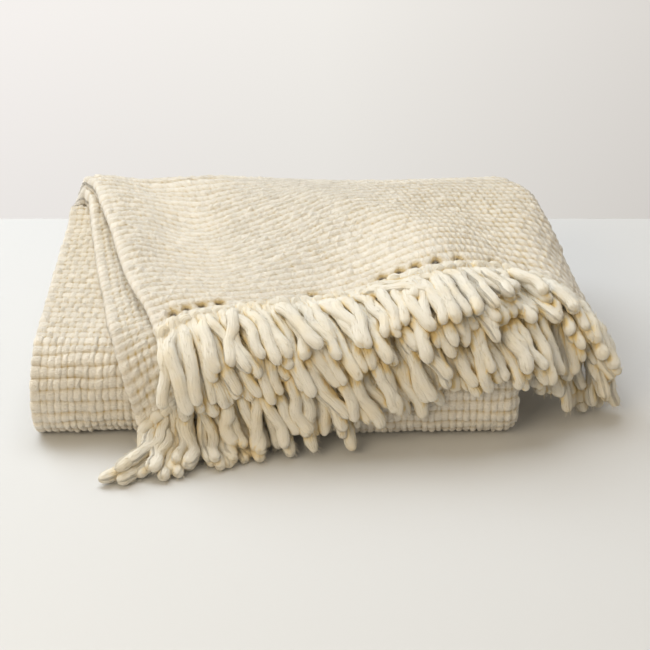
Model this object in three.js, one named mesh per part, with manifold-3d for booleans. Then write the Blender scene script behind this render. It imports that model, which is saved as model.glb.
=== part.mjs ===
// A chunky plain-weave wool throw with a roving fringe. It is folded in half across its width, so that
// every pass is a pair of layers with the fold at the right and both selvedges at the left. The pair
// then runs back and forth: a hidden pass, the bottom pass, a tall round wrap up the front, a pass to
// the back, and a flap that comes forward again, askew, and falls over the front with its fringed end.
// X runs along the front, Y away from it, Z up. The cloth lies on Z = 0.

import * as THREE from 'three';
import { mergeVertices } from 'three/addons/utils/BufferGeometryUtils.js';
import Module from 'manifold-3d';

const wasm = await Module();
wasm.setup();

// Driving dimensions of the cloth, millimetres
const CLOTH_WIDTH = 1270;
const CLOTH_THICKNESS = 14;
const LAYER_PITCH = 22;
const PACK_DEPTH = 430;
const HIDDEN_END_Y = 95;
const FOOT_RADIUS = 26;
const WRAP_RADIUS = 40;

// Driving dimensions of the fringe, millimetres
const LOCK_LENGTH = 108;
const LOCK_RADIUS = 6;
const LOCK_SPACING = 19.5;
const LOCK_SIDES = 4;
const STRIP_WIDTH = 10;
const STRIP_GAP = 0.7;

// Colours and finish of undyed wool
const CLOTH_COLOUR = 0xe6dfcf;
const FRINGE_COLOUR = 0xf0e9da;
const WOOL_ROUGHNESS = 0.95;

// Heights of the middle of each pair of layers, from the bottom pass up to the flap
const HALF_PITCH = LAYER_PITCH / 2;
const BOTTOM_Z = CLOTH_THICKNESS / 2 + HALF_PITCH;
const HIDDEN_Z = BOTTOM_Z + 2 * LAYER_PITCH;
const UPPER_Z = BOTTOM_Z + 4 * LAYER_PITCH;
const FLAP_RADIUS = WRAP_RADIUS + 2 * LAYER_PITCH;

// Two ranks of locks: how far each lies before the cloth's middle, and how wide it turns down where it
// hangs free, from the upper and from the lower layer
const RANKS = [
  { name: 'before', upperLift: 10, lowerLift: 6, upperTurn: 58, lowerTurn: 30 },
  { name: 'behind', upperLift: -3, lowerLift: -7, upperTurn: 44, lowerTurn: 16 },
];

// The lower locks rest on the floor, so the pair's middle turns out above it
const FLOOR_TURN_RADIUS = 30;
const FLOOR_Z = LOCK_RADIUS + HALF_PITCH - RANKS[1].lowerLift;
const DROP_RUN = UPPER_Z - WRAP_RADIUS - FLOOR_Z - FLOOR_TURN_RADIUS;
const FLOOR_RUN = 300;

// The section that the middle of the pair follows: a straight run, then a turn (degrees, radius)
const SECTION = [
  { name: 'hidden pass', run: PACK_DEPTH - HIDDEN_END_Y, turn: -180, radius: LAYER_PITCH },
  { name: 'bottom pass', run: PACK_DEPTH + WRAP_RADIUS - FOOT_RADIUS, turn: -90, radius: FOOT_RADIUS },
  { name: 'front wrap', run: UPPER_Z - BOTTOM_Z - FOOT_RADIUS - WRAP_RADIUS, turn: -90, radius: WRAP_RADIUS },
  { name: 'upper pass', run: PACK_DEPTH, turn: 180, radius: LAYER_PITCH },
  { name: 'flap', run: PACK_DEPTH, turn: 90, radius: FLAP_RADIUS },
  { name: 'drop', run: DROP_RUN, turn: -90, radius: FLOOR_TURN_RADIUS },
  { name: 'floor', run: FLOOR_RUN, turn: 0, radius: 1 },
];

// Stations along the section where each run and each turn begins
const runStart = {};
const turnStart = {};
let sectionLength = 0;
for (const part of SECTION) {
  runStart[part.name] = sectionLength;
  turnStart[part.name] = sectionLength + part.run;
  sectionLength += part.run + part.radius * THREE.MathUtils.degToRad(Math.abs(part.turn));
}
const FLAP_START = runStart.flap;

// Where the left selvedge of the pack lies at stations along the section
const NEAR_TURN = 90;
const PACK_LEFT = [
  { station: 0, x: -372 },
  { station: runStart['bottom pass'], x: -376 },
  { station: turnStart['bottom pass'] - NEAR_TURN, x: -362 },
  { station: runStart['front wrap'], x: -372 },
  { station: runStart['upper pass'], x: -370 },
  { station: turnStart['upper pass'] - NEAR_TURN, x: -375 },
  { station: turnStart['upper pass'], x: -378 },
];

// Left selvedges of the flap's two layers, at distances forward of the back turn, which the cloth comes
// to between two stations of that turn; at the right, the pack's fold is drawn in, and the flap's is slack,
// more so towards its front corner
const SKEW_FROM = turnStart['upper pass'] + 5;
const SKEW_TO = FLAP_START + 30;
const SLACK_TO = FLAP_START + 60;
const PACK_TAKE_UP = 16;
const FLAP_SLACK = 12;
const CORNER_SLACK = 18;
const CORNER_FROM = FLAP_START + 370;
const FLAP_LEFT = [
  { forward: 0, upper: -343, lower: -350 },
  { forward: 170, upper: -298, lower: -322 },
  { forward: 320, upper: -262, lower: -295 },
  { forward: 460, upper: -214, lower: -267 },
  { forward: 600, upper: -170, lower: -232 },
  { forward: 720, upper: -134, lower: -202 },
];

// How far forward of the back turn each layer of the flap ends, from the selvedge (0) to the fold (1)
const FLAP_END = [
  { across: 0, upper: 476, lower: 590 },
  { across: 0.1, upper: 444, lower: 553 },
  { across: 0.25, upper: 424, lower: 510 },
  { across: 0.45, upper: 396, lower: 462 },
  { across: 0.6, upper: 378, lower: 440 },
  { across: 0.7, upper: 348, lower: 420 },
  { across: 0.8, upper: 324, lower: 392 },
  { across: 0.9, upper: 344, lower: 368 },
  { across: 1, upper: 362, lower: 362 },
];

// The flap bends down where it passes the right end of the pack, more so forward of the back turn
const BEND_X = 262;
const BEND_RADIUS = 76;
const BEND_LIMIT = THREE.MathUtils.degToRad(50);
const BEND_FORWARD = { from: -20, full: 170 };

// Soft ridges and hollows of the flap: place, half sizes and rise, the first one running on forward
const RELIEF = [
  { name: 'ridge', x: 150, forward: 318, halfX: 80, halfForward: 170, rise: 22, runsOn: true },
  { name: 'back corner', x: -335, forward: -20, halfX: 50, halfForward: 70, rise: 6 },
  { name: 'back dip', x: -262, forward: -20, halfX: 45, halfForward: 70, rise: -4 },
  { name: 'left hollow', x: -165, forward: 210, halfX: 90, halfForward: 110, rise: -4 },
  { name: 'middle hollow', x: 0, forward: 345, halfX: 65, halfForward: 90, rise: -5 },
];
const LOWER_RELIEF_SHARE = 0.6;
const RELIEF_FORWARD = { from: -60, full: 40 };

// Slow waves that make the loft and the front of the pack uneven: share of height or depth, wavelength
const LOFT_WAVE = { share: 0.02, lengthX: 520, lengthY: 610, phaseX: 0.8, phaseY: 0.4 };
const FRONT_WAVE = { share: 0.05, lengthX: 430, phase: 1.1 };

const ease = (value, low, high) => THREE.MathUtils.smoothstep(value, low, high);
const mix = (a, b, share) => a + (b - a) * share;

// Smooth curve through one column of a table, held at its ends
function along(table, key, column, at) {
  const last = table.length - 1;
  const value = Math.min(Math.max(at, table[0][key]), table[last][key]);
  let i = 0;
  while (i < last - 1 && value > table[i + 1][key]) i += 1;
  const slope = (k) => {
    const before = table[Math.max(k - 1, 0)];
    const after = table[Math.min(k + 1, last)];
    return (after[column] - before[column]) / (after[key] - before[key]);
  };
  const step = table[i + 1][key] - table[i][key];
  const t = (value - table[i][key]) / step;
  const rise = table[i + 1][column] - table[i][column];
  const bendIn = slope(i) * step - rise;
  const bendOut = rise - slope(i + 1) * step;
  return table[i][column] + t * rise + t * (1 - t) * (bendIn * (1 - t) + bendOut * t);
}

// Point and heading of the pair's middle at a station; heading 0 runs to the back, 90 degrees up
function sectionPoint(station) {
  let y = HIDDEN_END_Y;
  let z = HIDDEN_Z;
  let heading = 0;
  for (const part of SECTION) {
    const inRun = Math.min(station - runStart[part.name], part.run);
    y += inRun * Math.cos(heading);
    z += inRun * Math.sin(heading);
    const inTurn = station - turnStart[part.name];
    if (inTurn <= 0 || part.turn === 0) break;
    const side = Math.sign(part.turn);
    const whole = THREE.MathUtils.degToRad(Math.abs(part.turn));
    const next = heading + side * Math.min(inTurn / part.radius, whole);
    y += side * part.radius * (Math.sin(next) - Math.sin(heading));
    z += side * part.radius * (Math.cos(heading) - Math.cos(next));
    heading = next;
    if (inTurn < part.radius * whole) break;
  }
  return { y, z, heading };
}

// Left selvedge at a station: layer -1 is the lower layer of the flap, +1 the upper one
function leftEdge(station, layer) {
  const forward = station - FLAP_START;
  const upper = along(FLAP_LEFT, 'forward', 'upper', forward);
  const lower = along(FLAP_LEFT, 'forward', 'lower', forward);
  const flap = mix(lower, upper, (1 + layer) / 2);
  const pack = along(PACK_LEFT, 'station', 'x', station);
  return mix(pack, flap, ease(station, SKEW_FROM, SKEW_TO));
}

const SPAN = CLOTH_WIDTH / 2 - Math.PI * HALF_PITCH / 2;

function rightFold(station) {
  const middle = (leftEdge(station, -1) + leftEdge(station, 1)) / 2;
  const slack = mix(-PACK_TAKE_UP, FLAP_SLACK, ease(station, turnStart['upper pass'], SLACK_TO));
  return middle + SPAN + slack + CORNER_SLACK * ease(station, SLACK_TO, CORNER_FROM);
}

function flapRelief(x, forward) {
  let rise = 0;
  for (const soft of RELIEF) {
    const ahead = soft.runsOn ? Math.min(forward - soft.forward, 0) : forward - soft.forward;
    rise += soft.rise * Math.exp(-(((x - soft.x) / soft.halfX) ** 2) - (ahead / soft.halfForward) ** 2);
  }
  return rise;
}

// A point of the folded throw. across runs from the left selvedge (0) to the fold (1); round is the angle
// round the fold, -90 degrees on the lower layer of the flap and +90 on the upper; reach is the distance
// from the middle of the pair.
function place(across, round, reach, station) {
  const layer = Math.sin(round);
  const { y, z, heading } = sectionPoint(station);
  const offset = reach * layer;
  const upward = -Math.cos(heading);
  const left = leftEdge(station, layer);
  const flat = mix(left, rightFold(station), across) + reach * Math.cos(round);
  const forward = station - FLAP_START;
  const point = new THREE.Vector3(flat, y + Math.sin(heading) * offset, z + upward * offset);

  const past = Math.max(flat - BEND_X, 0);
  const angle = Math.min(past / BEND_RADIUS, BEND_LIMIT);
  const straight = past - BEND_RADIUS * angle;
  const lift = offset * upward;
  const bentX = BEND_X + (BEND_RADIUS + lift) * Math.sin(angle) + straight * Math.cos(angle);
  const bentZ = (BEND_RADIUS + lift) * (Math.cos(angle) - 1) - straight * Math.sin(angle);
  const bend = past > 0 ? ease(forward, BEND_FORWARD.from, BEND_FORWARD.full) : 0;
  point.x = mix(point.x, bentX, bend);
  point.z += bend * bentZ;

  const relief = flapRelief(point.x, forward) * ease(forward, RELIEF_FORWARD.from, RELIEF_FORWARD.full);
  point.z += relief * mix(LOWER_RELIEF_SHARE, 1, (1 + layer) / 2);

  const { share, lengthX, lengthY, phaseX, phaseY } = LOFT_WAVE;
  const waveX = Math.sin(2 * Math.PI * point.x / lengthX + phaseX);
  const waveY = Math.sin(2 * Math.PI * point.y / lengthY + phaseY);
  point.z *= 1 + share * waveX * waveY;
  if (point.y < 0) {
    point.y *= 1 + FRONT_WAVE.share * Math.sin(2 * Math.PI * point.x / FRONT_WAVE.lengthX + FRONT_WAVE.phase);
  }
  return point;
}

// Station of the fringed end of the cloth
function endStation(across, layer) {
  const upper = along(FLAP_END, 'across', 'upper', across);
  const lower = along(FLAP_END, 'across', 'lower', across);
  return FLAP_START + mix(lower, upper, (1 + layer) / 2);
}

// Columns across the unfolded width: the lower layer, the half round of the fold, the upper layer
const LAYER_COLUMNS = 11;
const FOLD_COLUMNS = 4;
const columns = [];
for (let i = 0; i < LAYER_COLUMNS; i += 1) {
  columns.push({ across: i / LAYER_COLUMNS, round: -Math.PI / 2 });
}
for (let i = 0; i <= FOLD_COLUMNS; i += 1) {
  columns.push({ across: 1, round: Math.PI * (i / FOLD_COLUMNS - 0.5) });
}
for (let i = LAYER_COLUMNS - 1; i >= 0; i -= 1) {
  columns.push({ across: i / LAYER_COLUMNS, round: Math.PI / 2 });
}

// Rows along the length: how many steps each run and each turn of the section takes
const STEPS = [
  { name: 'hidden pass', run: 3, turn: 6 },
  { name: 'bottom pass', run: 5, turn: 4 },
  { name: 'front wrap', run: 1, turn: 5 },
  { name: 'upper pass', run: 6, turn: 9 },
];
const FLAP_STEPS = 17;
const rows = [];
for (const { name, run, turn } of STEPS) {
  const part = SECTION.find((entry) => entry.name === name);
  const arc = part.radius * THREE.MathUtils.degToRad(Math.abs(part.turn));
  for (let i = 0; i < run; i += 1) rows.push(() => runStart[name] + part.run * i / run);
  for (let i = 0; i < turn; i += 1) rows.push(() => turnStart[name] + arc * i / turn);
}
for (let i = 0; i <= FLAP_STEPS; i += 1) {
  rows.push(({ across, round }) => mix(FLAP_START, endStation(across, Math.sin(round)), i / FLAP_STEPS));
}

// Closed skin over a list of loops of points, one loop after another, capped at both ends
function skin(loops, caps) {
  const count = loops[0].length;
  const positions = loops.flat().flatMap((point) => [point.x, point.y, point.z]);
  const faces = [];
  for (let k = 0; k + 1 < loops.length; k += 1) {
    for (let i = 0; i < count; i += 1) {
      const a = k * count + i;
      const b = k * count + (i + 1) % count;
      faces.push(a, b, b + count, a, b + count, a + count);
    }
  }
  const last = (loops.length - 1) * count;
  for (const [a, b, c] of caps) faces.push(a, c, b, last + a, last + b, last + c);
  const geometry = new THREE.BufferGeometry();
  geometry.setAttribute('position', new THREE.Float32BufferAttribute(positions, 3));
  geometry.setIndex(faces);
  return geometry;
}

// Signed volume, positive where the faces point out
function volume(geometry) {
  const position = geometry.attributes.position;
  const index = geometry.index;
  const [a, b, c] = [new THREE.Vector3(), new THREE.Vector3(), new THREE.Vector3()];
  let sum = 0;
  for (let i = 0; i < index.count; i += 3) {
    a.fromBufferAttribute(position, index.getX(i));
    b.fromBufferAttribute(position, index.getX(i + 1));
    c.fromBufferAttribute(position, index.getX(i + 2));
    sum += a.dot(b.cross(c)) / 6;
  }
  return sum;
}

function faceOutward(geometry) {
  if (volume(geometry) > 0) return geometry;
  const order = geometry.index.array;
  for (let i = 0; i < order.length; i += 3) [order[i + 1], order[i + 2]] = [order[i + 2], order[i + 1]];
  return geometry;
}

// Triangles that close a loop made of an outer row of points followed by the inner row, reversed
function bandCaps(columnCount) {
  const caps = [];
  for (let i = 0; i + 1 < columnCount; i += 1) {
    const inner = 2 * columnCount - 1 - i;
    caps.push([i, i + 1, inner - 1], [i, inner - 1, inner]);
  }
  return caps;
}

// The band between two distances from the pair's middle, over a list of columns, at one row
function bandLoop(columnList, stationAt, thickness) {
  const side = (out) => columnList.map((column) => (
    place(column.across, column.round, HALF_PITCH + out, stationAt(column))
  ));
  return [...side(thickness / 2), ...side(-thickness / 2).reverse()];
}

function makeCloth() {
  const loops = rows.map((stationAt) => bandLoop(columns, stationAt, CLOTH_THICKNESS));
  return faceOutward(skin(loops, bandCaps(columns.length)));
}

// The strip that holds the roots of a row of locks, along the cloth's end
function makeStrip(columnList) {
  const atEnd = (past) => (column) => endStation(column.across, Math.sin(column.round)) + STRIP_GAP + past;
  const loops = [0, STRIP_WIDTH].map((past) => bandLoop(columnList, atEnd(past), CLOTH_THICKNESS));
  return faceOutward(skin(loops, bandCaps(columnList.length)));
}

// Even spread of values between -1 and 1 that looks irregular
const SCATTER = { step: 12.9898, seedStep: 78.233, gain: 43758.5453 };
const scatter = (i, seed) => (Math.sin(i * SCATTER.step + seed * SCATTER.seedStep) * SCATTER.gain) % 1;

// Lean of the locks along the end: the corner at the selvedge fans out, the rest follow the warp
const LEAN = [
  { across: 0, upper: -8, lower: -92 },
  { across: 0.06, upper: 0, lower: -38 },
  { across: 0.16, upper: 5, lower: -6 },
  { across: 0.5, upper: 8, lower: 6 },
  { across: 1, upper: 10, lower: 8 },
];
const FAN_CURVE = 1.6;
const SWAY = 1.6;
const SWAY_TURNS = 1.3;
const LOCKS_PER_SWAY = 9;
const LENGTH_SPREAD = 0.07;
const FAN_FROM_ROOT = 20;
const RANKS_PART = 28;
const FIRST_LOCK = 0.25;

// Past the pack's right end the locks hang free, down and a little outward
const HANG_FROM = 0.8;
const HANG_FULL = 0.95;
const HANG_LIMIT = THREE.MathUtils.degToRad(84);
const HANG_DOWN = new THREE.Vector3(0.36, -0.2, -0.9).normalize();
const ON_FLOOR = new THREE.Vector3(0.5, -0.4, 1);

const RINGS = [
  { at: 0, girth: 0.58 },
  { at: 0.22, girth: 1 },
  { at: 0.5, girth: 0.98 },
  { at: 0.8, girth: 0.92 },
  { at: 1, girth: 0.42 },
];
const TANGENT_STEP = 0.05;

// One lock: root in the strip, then out along the surface that the flap would have gone on to
function lockPoint(lock, along01) {
  const { across, round, lift, turnRadius, length, swayPhase } = lock;
  const layer = Math.sin(round);
  const root = endStation(across, layer) + STRIP_GAP + STRIP_WIDTH / 2;
  const past = length * along01;
  const lean = along(LEAN, 'across', layer > 0 ? 'upper' : 'lower', across);
  const drift = lean * along01 ** FAN_CURVE + SWAY * Math.sin(Math.PI * (along01 * SWAY_TURNS + swayPhase));
  const reach = HALF_PITCH + Math.sign(layer) * lift * ease(past, 0, RANKS_PART);
  const lying = place(across + drift * ease(past, 0, FAN_FROM_ROOT) / SPAN, round, reach, root + past);
  const hang = ease(across, HANG_FROM, HANG_FULL);
  if (hang === 0) return lying;
  const onCloth = Math.max(endStation(across, -1) - endStation(across, layer), 0);
  const held = Math.min(past, onCloth);
  const start = place(across, round, reach, root + held);
  const heading = start.clone().sub(place(across, round, reach, root + held - 1)).normalize();
  const free = past - held;
  const angle = Math.min(free / turnRadius, HANG_LIMIT);
  const straight = free - turnRadius * angle;
  const outward = turnRadius * Math.sin(angle) + straight * Math.cos(angle);
  const downward = turnRadius * (1 - Math.cos(angle)) + straight * Math.sin(angle);
  const hanging = start.addScaledVector(heading, outward).addScaledVector(HANG_DOWN, downward);
  const point = lying.lerp(hanging, hang);
  const short = Math.max(LOCK_RADIUS - point.z, 0);
  return point.addScaledVector(ON_FLOOR, short);
}

function makeLock(lock) {
  const loops = RINGS.map(({ at, girth }) => {
    const centre = lockPoint(lock, at);
    const before = lockPoint(lock, Math.max(at - TANGENT_STEP, 0));
    const ahead = lockPoint(lock, Math.min(at + TANGENT_STEP, 1)).sub(before);
    const side = new THREE.Vector3(1, 0, 0).cross(ahead).normalize();
    const cross = new THREE.Vector3().crossVectors(ahead, side).normalize();
    const ring = [];
    for (let i = 0; i < LOCK_SIDES; i += 1) {
      const turn = 2 * Math.PI * i / LOCK_SIDES;
      const radius = LOCK_RADIUS * girth;
      ring.push(centre.clone().addScaledVector(side, radius * Math.cos(turn))
        .addScaledVector(cross, radius * Math.sin(turn)));
    }
    return ring;
  });
  const caps = [];
  for (let i = 1; i + 1 < LOCK_SIDES; i += 1) caps.push([0, i, i + 1]);
  return faceOutward(skin(loops, caps));
}

function toSolid(geometry) {
  const merged = mergeVertices(geometry);
  return new wasm.Manifold(new wasm.Mesh({
    numProp: 3,
    vertProperties: new Float32Array(merged.attributes.position.array),
    triVerts: new Uint32Array(merged.index.array),
  }));
}

function toGeometry(solid) {
  const mesh = solid.getMesh();
  const geometry = new THREE.BufferGeometry();
  geometry.setAttribute('position', new THREE.Float32BufferAttribute(mesh.vertProperties, 3));
  geometry.setIndex([...mesh.triVerts]);
  return geometry;
}

// Locks in two staggered ranks, one lying before the strip's middle and one behind it
function makeFringe(columnList, round) {
  let solid = toSolid(makeStrip(columnList));
  const count = Math.round(SPAN / LOCK_SPACING);
  for (let i = 0; i < count; i += 1) {
    RANKS.forEach((rank, order) => {
      const seed = i + order / 2;
      const lock = {
        across: (seed + FIRST_LOCK) / count,
        round,
        lift: round > 0 ? rank.upperLift : rank.lowerLift,
        turnRadius: round > 0 ? rank.upperTurn : rank.lowerTurn,
        length: LOCK_LENGTH * (1 + LENGTH_SPREAD * scatter(seed, round)),
        swayPhase: seed / LOCKS_PER_SWAY,
      };
      solid = solid.add(toSolid(makeLock(lock)));
    });
  }
  return toGeometry(solid);
}

// The strips of the two rows part at the middle of the fold
const foldMiddle = LAYER_COLUMNS + FOLD_COLUMNS / 2;
const lowerColumns = columns.slice(0, foldMiddle);
const upperColumns = columns.slice(foldMiddle + 1);

function piece(name, geometry, colour) {
  const material = new THREE.MeshStandardMaterial({ color: colour, roughness: WOOL_ROUGHNESS, metalness: 0 });
  const mesh = new THREE.Mesh(geometry, material);
  mesh.name = name;
  return mesh;
}

const foldedThrow = new THREE.Group();
foldedThrow.add(piece('throw_cloth', makeCloth(), CLOTH_COLOUR));
foldedThrow.add(piece('fringe_lower', makeFringe(lowerColumns, -Math.PI / 2), FRINGE_COLOUR));
foldedThrow.add(piece('fringe_upper', makeFringe(upperColumns, Math.PI / 2), FRINGE_COLOUR));

// The origin is the middle of the box, on the floor
const middle = new THREE.Box3().setFromObject(foldedThrow).getCenter(new THREE.Vector3());
foldedThrow.position.set(-middle.x, -middle.y, 0);

export default foldedThrow;
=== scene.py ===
import math

import bpy
import numpy as np
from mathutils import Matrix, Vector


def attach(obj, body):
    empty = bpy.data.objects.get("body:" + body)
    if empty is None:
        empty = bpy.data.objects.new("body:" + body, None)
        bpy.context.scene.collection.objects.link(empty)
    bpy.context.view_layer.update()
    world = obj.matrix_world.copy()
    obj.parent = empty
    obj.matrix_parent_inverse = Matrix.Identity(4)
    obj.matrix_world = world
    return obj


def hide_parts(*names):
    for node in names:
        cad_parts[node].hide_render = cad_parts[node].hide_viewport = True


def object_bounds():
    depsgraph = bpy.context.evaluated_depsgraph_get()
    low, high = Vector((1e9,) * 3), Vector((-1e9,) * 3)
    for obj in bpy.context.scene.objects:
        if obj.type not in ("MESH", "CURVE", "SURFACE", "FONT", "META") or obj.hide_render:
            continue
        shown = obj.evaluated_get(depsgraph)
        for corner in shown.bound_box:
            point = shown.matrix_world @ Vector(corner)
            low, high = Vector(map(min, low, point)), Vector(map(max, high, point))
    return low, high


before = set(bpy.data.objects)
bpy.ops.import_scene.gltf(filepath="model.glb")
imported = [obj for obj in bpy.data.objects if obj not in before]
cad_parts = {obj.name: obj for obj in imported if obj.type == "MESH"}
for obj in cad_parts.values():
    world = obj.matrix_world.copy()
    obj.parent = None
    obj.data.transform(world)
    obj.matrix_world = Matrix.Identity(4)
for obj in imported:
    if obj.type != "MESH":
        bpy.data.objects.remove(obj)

cad_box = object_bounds()

# The folded cloth: one length of chunky undyed wool in plain weave, selvedge to selvedge. It is folded in
# half across its width, then laid back and forth: a hidden pass, the bottom, a round wrap up the front, a
# pass to the back, and a flap that comes forward askew over the top. Sizes are millimetres, in the frame
# of the fold.
MM = 0.001
CLOTH_WIDTH = 1270.0
CLOTH_THICKNESS = 14.0
LAYER_PITCH = 22.0
PACK_DEPTH = 430.0
HIDDEN_END_Y = 95.0
FOOT_RADIUS = 26.0
WRAP_RADIUS = 40.0
FLOOR_TURN_RADIUS = 30.0
FLOOR_Z = 24.0
HALF_PITCH = LAYER_PITCH / 2
HALF_THICKNESS = CLOTH_THICKNESS / 2
BOTTOM_Z = HALF_THICKNESS + HALF_PITCH
HIDDEN_Z = BOTTOM_Z + 2 * LAYER_PITCH
UPPER_Z = BOTTOM_Z + 4 * LAYER_PITCH
FLAP_RADIUS = WRAP_RADIUS + 2 * LAYER_PITCH
SPAN = CLOTH_WIDTH / 2 - math.pi * HALF_PITCH / 2
# Leftmost point of the solids in the frame of the fold, and the shift from that frame to the part's own
LEFTMOST = -378.03
FRAME_SHIFT_X = cad_box[0][0] / MM - LEFTMOST
FRAME_SHIFT_Y = cad_box[1][1] / MM - (PACK_DEPTH + LAYER_PITCH + HALF_PITCH + HALF_THICKNESS)

FRONT_RUN = UPPER_Z - BOTTOM_Z - FOOT_RADIUS - WRAP_RADIUS
DROP_RUN = UPPER_Z - WRAP_RADIUS - FLOOR_Z - FLOOR_TURN_RADIUS
FLOOR_RUN = 300.0

# Section that the middle of the doubled cloth follows: name, straight run, then turn in degrees and its
# radius
SECTION = (
    ("hidden pass", PACK_DEPTH - HIDDEN_END_Y, -180, LAYER_PITCH),
    ("bottom pass", PACK_DEPTH + WRAP_RADIUS - FOOT_RADIUS, -90, FOOT_RADIUS),
    ("front wrap", FRONT_RUN, -90, WRAP_RADIUS),
    ("upper pass", PACK_DEPTH, 180, LAYER_PITCH),
    ("flap", PACK_DEPTH, 90, FLAP_RADIUS),
    ("drop", DROP_RUN, -90, FLOOR_TURN_RADIUS),
    ("floor", FLOOR_RUN, 0, 1.0),
)
RUN_START = {}
TURN_START = {}
section_length = 0.0
for name, run, turn, radius in SECTION:
    RUN_START[name] = section_length
    TURN_START[name] = section_length + run
    section_length += run + radius * math.radians(abs(turn))
FLAP_START = RUN_START["flap"]
BACK_TURN = TURN_START["upper pass"]

# Left selvedge of the pack: station, x
PACK_LEFT = (
    (0, -372),
    (RUN_START["bottom pass"], -376),
    (TURN_START["bottom pass"] - 90, -362),
    (RUN_START["front wrap"], -372),
    (RUN_START["upper pass"], -370),
    (BACK_TURN - 90, -375),
    (BACK_TURN, -378),
)
# Left selvedges of the flap: distance forward of the back turn, x of the upper layer, x of the lower layer
FLAP_LEFT = (
    (0, -343, -350),
    (170, -298, -322),
    (320, -262, -295),
    (460, -214, -267),
    (600, -170, -232),
    (720, -134, -202),
)
# Fringed end of the flap: share from selvedge to fold, distance forward of the upper and of the lower layer
FLAP_END = (
    (0, 476, 590),
    (0.1, 444, 553),
    (0.25, 424, 510),
    (0.45, 396, 462),
    (0.6, 378, 440),
    (0.7, 348, 420),
    (0.8, 324, 392),
    (0.9, 344, 368),
    (1, 362, 362),
)
# Where the pack's left selvedge goes over to the flap's
EDGE_CHANGES = (BACK_TURN + 5, FLAP_START + 30)
# How much the fold at the right is drawn in along the pack and let out along the flap, and where that
# changes
PACK_TAKE_UP = 16.0
FLAP_SLACK = 12.0
SLACKENS = (BACK_TURN, FLAP_START + 60)
CORNER_SLACK = 18.0
CORNER_SLACKENS = (FLAP_START + 60, FLAP_START + 370)
# The flap's right corner bends down past the pack's end: from which x, and how far forward of the back turn
BEND_X = 262.0
BEND_RADIUS = 76.0
BEND_LIMIT = math.radians(50)
BEND_GROWS = (-20, 170)
# Soft ridges and hollows of the flap: x, forward, half sizes, rise, and whether it runs on to the front
RELIEF = (
    (150, 318, 80, 170, 22, True),
    (-335, -20, 50, 70, 6, False),
    (-262, -20, 45, 70, -4, False),
    (-165, 210, 90, 110, -4, False),
    (0, 345, 65, 90, -5, False),
)
LOWER_RELIEF_SHARE = 0.6
RELIEF_GROWS = (-60, 40)
# Creases of the flap: x and forward of the two ends, half width, rise of the upper and of the lower layer
CREASES = (
    (-12, 52, 100, 148, 36, 6, 3),
    (100, 148, 160, 240, 36, 3, 1),
    (-70, 170, 60, 300, 40, -5, -3),
    (-258, 15, -202, 150, 38, -7, -4),
    (-202, 150, -180, 300, 42, -6, -4),
    (-86, 342, 8, 182, 28, 3, 2),
    (-330, 0, -266, 250, 24, 4, 0),
    (-266, 250, -222, 400, 24, 4, 0),
    (40, 190, 250, 60, 40, -4, -2),
    (215, 120, 262, 300, 34, -5, -3),
)
# Slow waves of the pack's height and of its front: share, then length and phase
HEIGHT_WAVES = 0.02
HEIGHT_WAVES_X = (520, 0.8)
HEIGHT_WAVES_Y = (610, 0.4)
FRONT_WAVES = 0.05
FRONT_WAVES_X = (430, 1.1)


def ease(value, low, high):
    """Smooth step from 0 at the low value to 1 at the high one."""
    t = np.clip((value - low) / (high - low), 0, 1)
    return t * t * (3 - 2 * t)


def mix(a, b, share):
    return a + (b - a) * share


def ripple(at, length, phase):
    return np.sin(2 * np.pi * at / length + phase)


def along(table, column, at):
    """Smooth curve through one column of a table, over its first column, held at the ends."""
    rows = np.array(table, float)
    keys, values = rows[:, 0], rows[:, column]
    slopes = np.gradient(values, keys)
    slopes[1:-1] = (values[2:] - values[:-2]) / (keys[2:] - keys[:-2])
    at = np.clip(at, keys[0], keys[-1])
    i = np.searchsorted(keys[1:-1], at, side="left")
    step = keys[i + 1] - keys[i]
    t = (at - keys[i]) / step
    rise = values[i + 1] - values[i]
    bend_in = slopes[i] * step - rise
    bend_out = rise - slopes[i + 1] * step
    return values[i] + t * rise + t * (1 - t) * (bend_in * (1 - t) + bend_out * t)


def section_point(station):
    """Depth, height and heading of the doubled cloth's middle at stations along the section."""
    y = np.full_like(station, HIDDEN_END_Y)
    z = np.full_like(station, HIDDEN_Z)
    heading = np.zeros_like(station)
    before = 0.0
    for name, run, turn, radius in SECTION:
        in_run = np.clip(station - RUN_START[name], 0, run)
        side = np.sign(turn)
        angle = side * np.clip((station - TURN_START[name]) / radius, 0, math.radians(abs(turn)))
        y += in_run * math.cos(before) + side * radius * (np.sin(before + angle) - math.sin(before))
        z += in_run * math.sin(before) + side * radius * (math.cos(before) - np.cos(before + angle))
        heading += angle
        before += math.radians(turn)
    return y, z, heading


def left_edge(station, layer):
    """The selvedge's x, for the lower layer at -1 and the upper at 1."""
    forward = station - FLAP_START
    flap = mix(along(FLAP_LEFT, 2, forward), along(FLAP_LEFT, 1, forward), (1 + layer) / 2)
    return mix(along(PACK_LEFT, 1, station), flap, ease(station, *EDGE_CHANGES))


def end_station(across, layer):
    """The station of the fringed end."""
    return FLAP_START + mix(along(FLAP_END, 2, across), along(FLAP_END, 1, across), (1 + layer) / 2)


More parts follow.
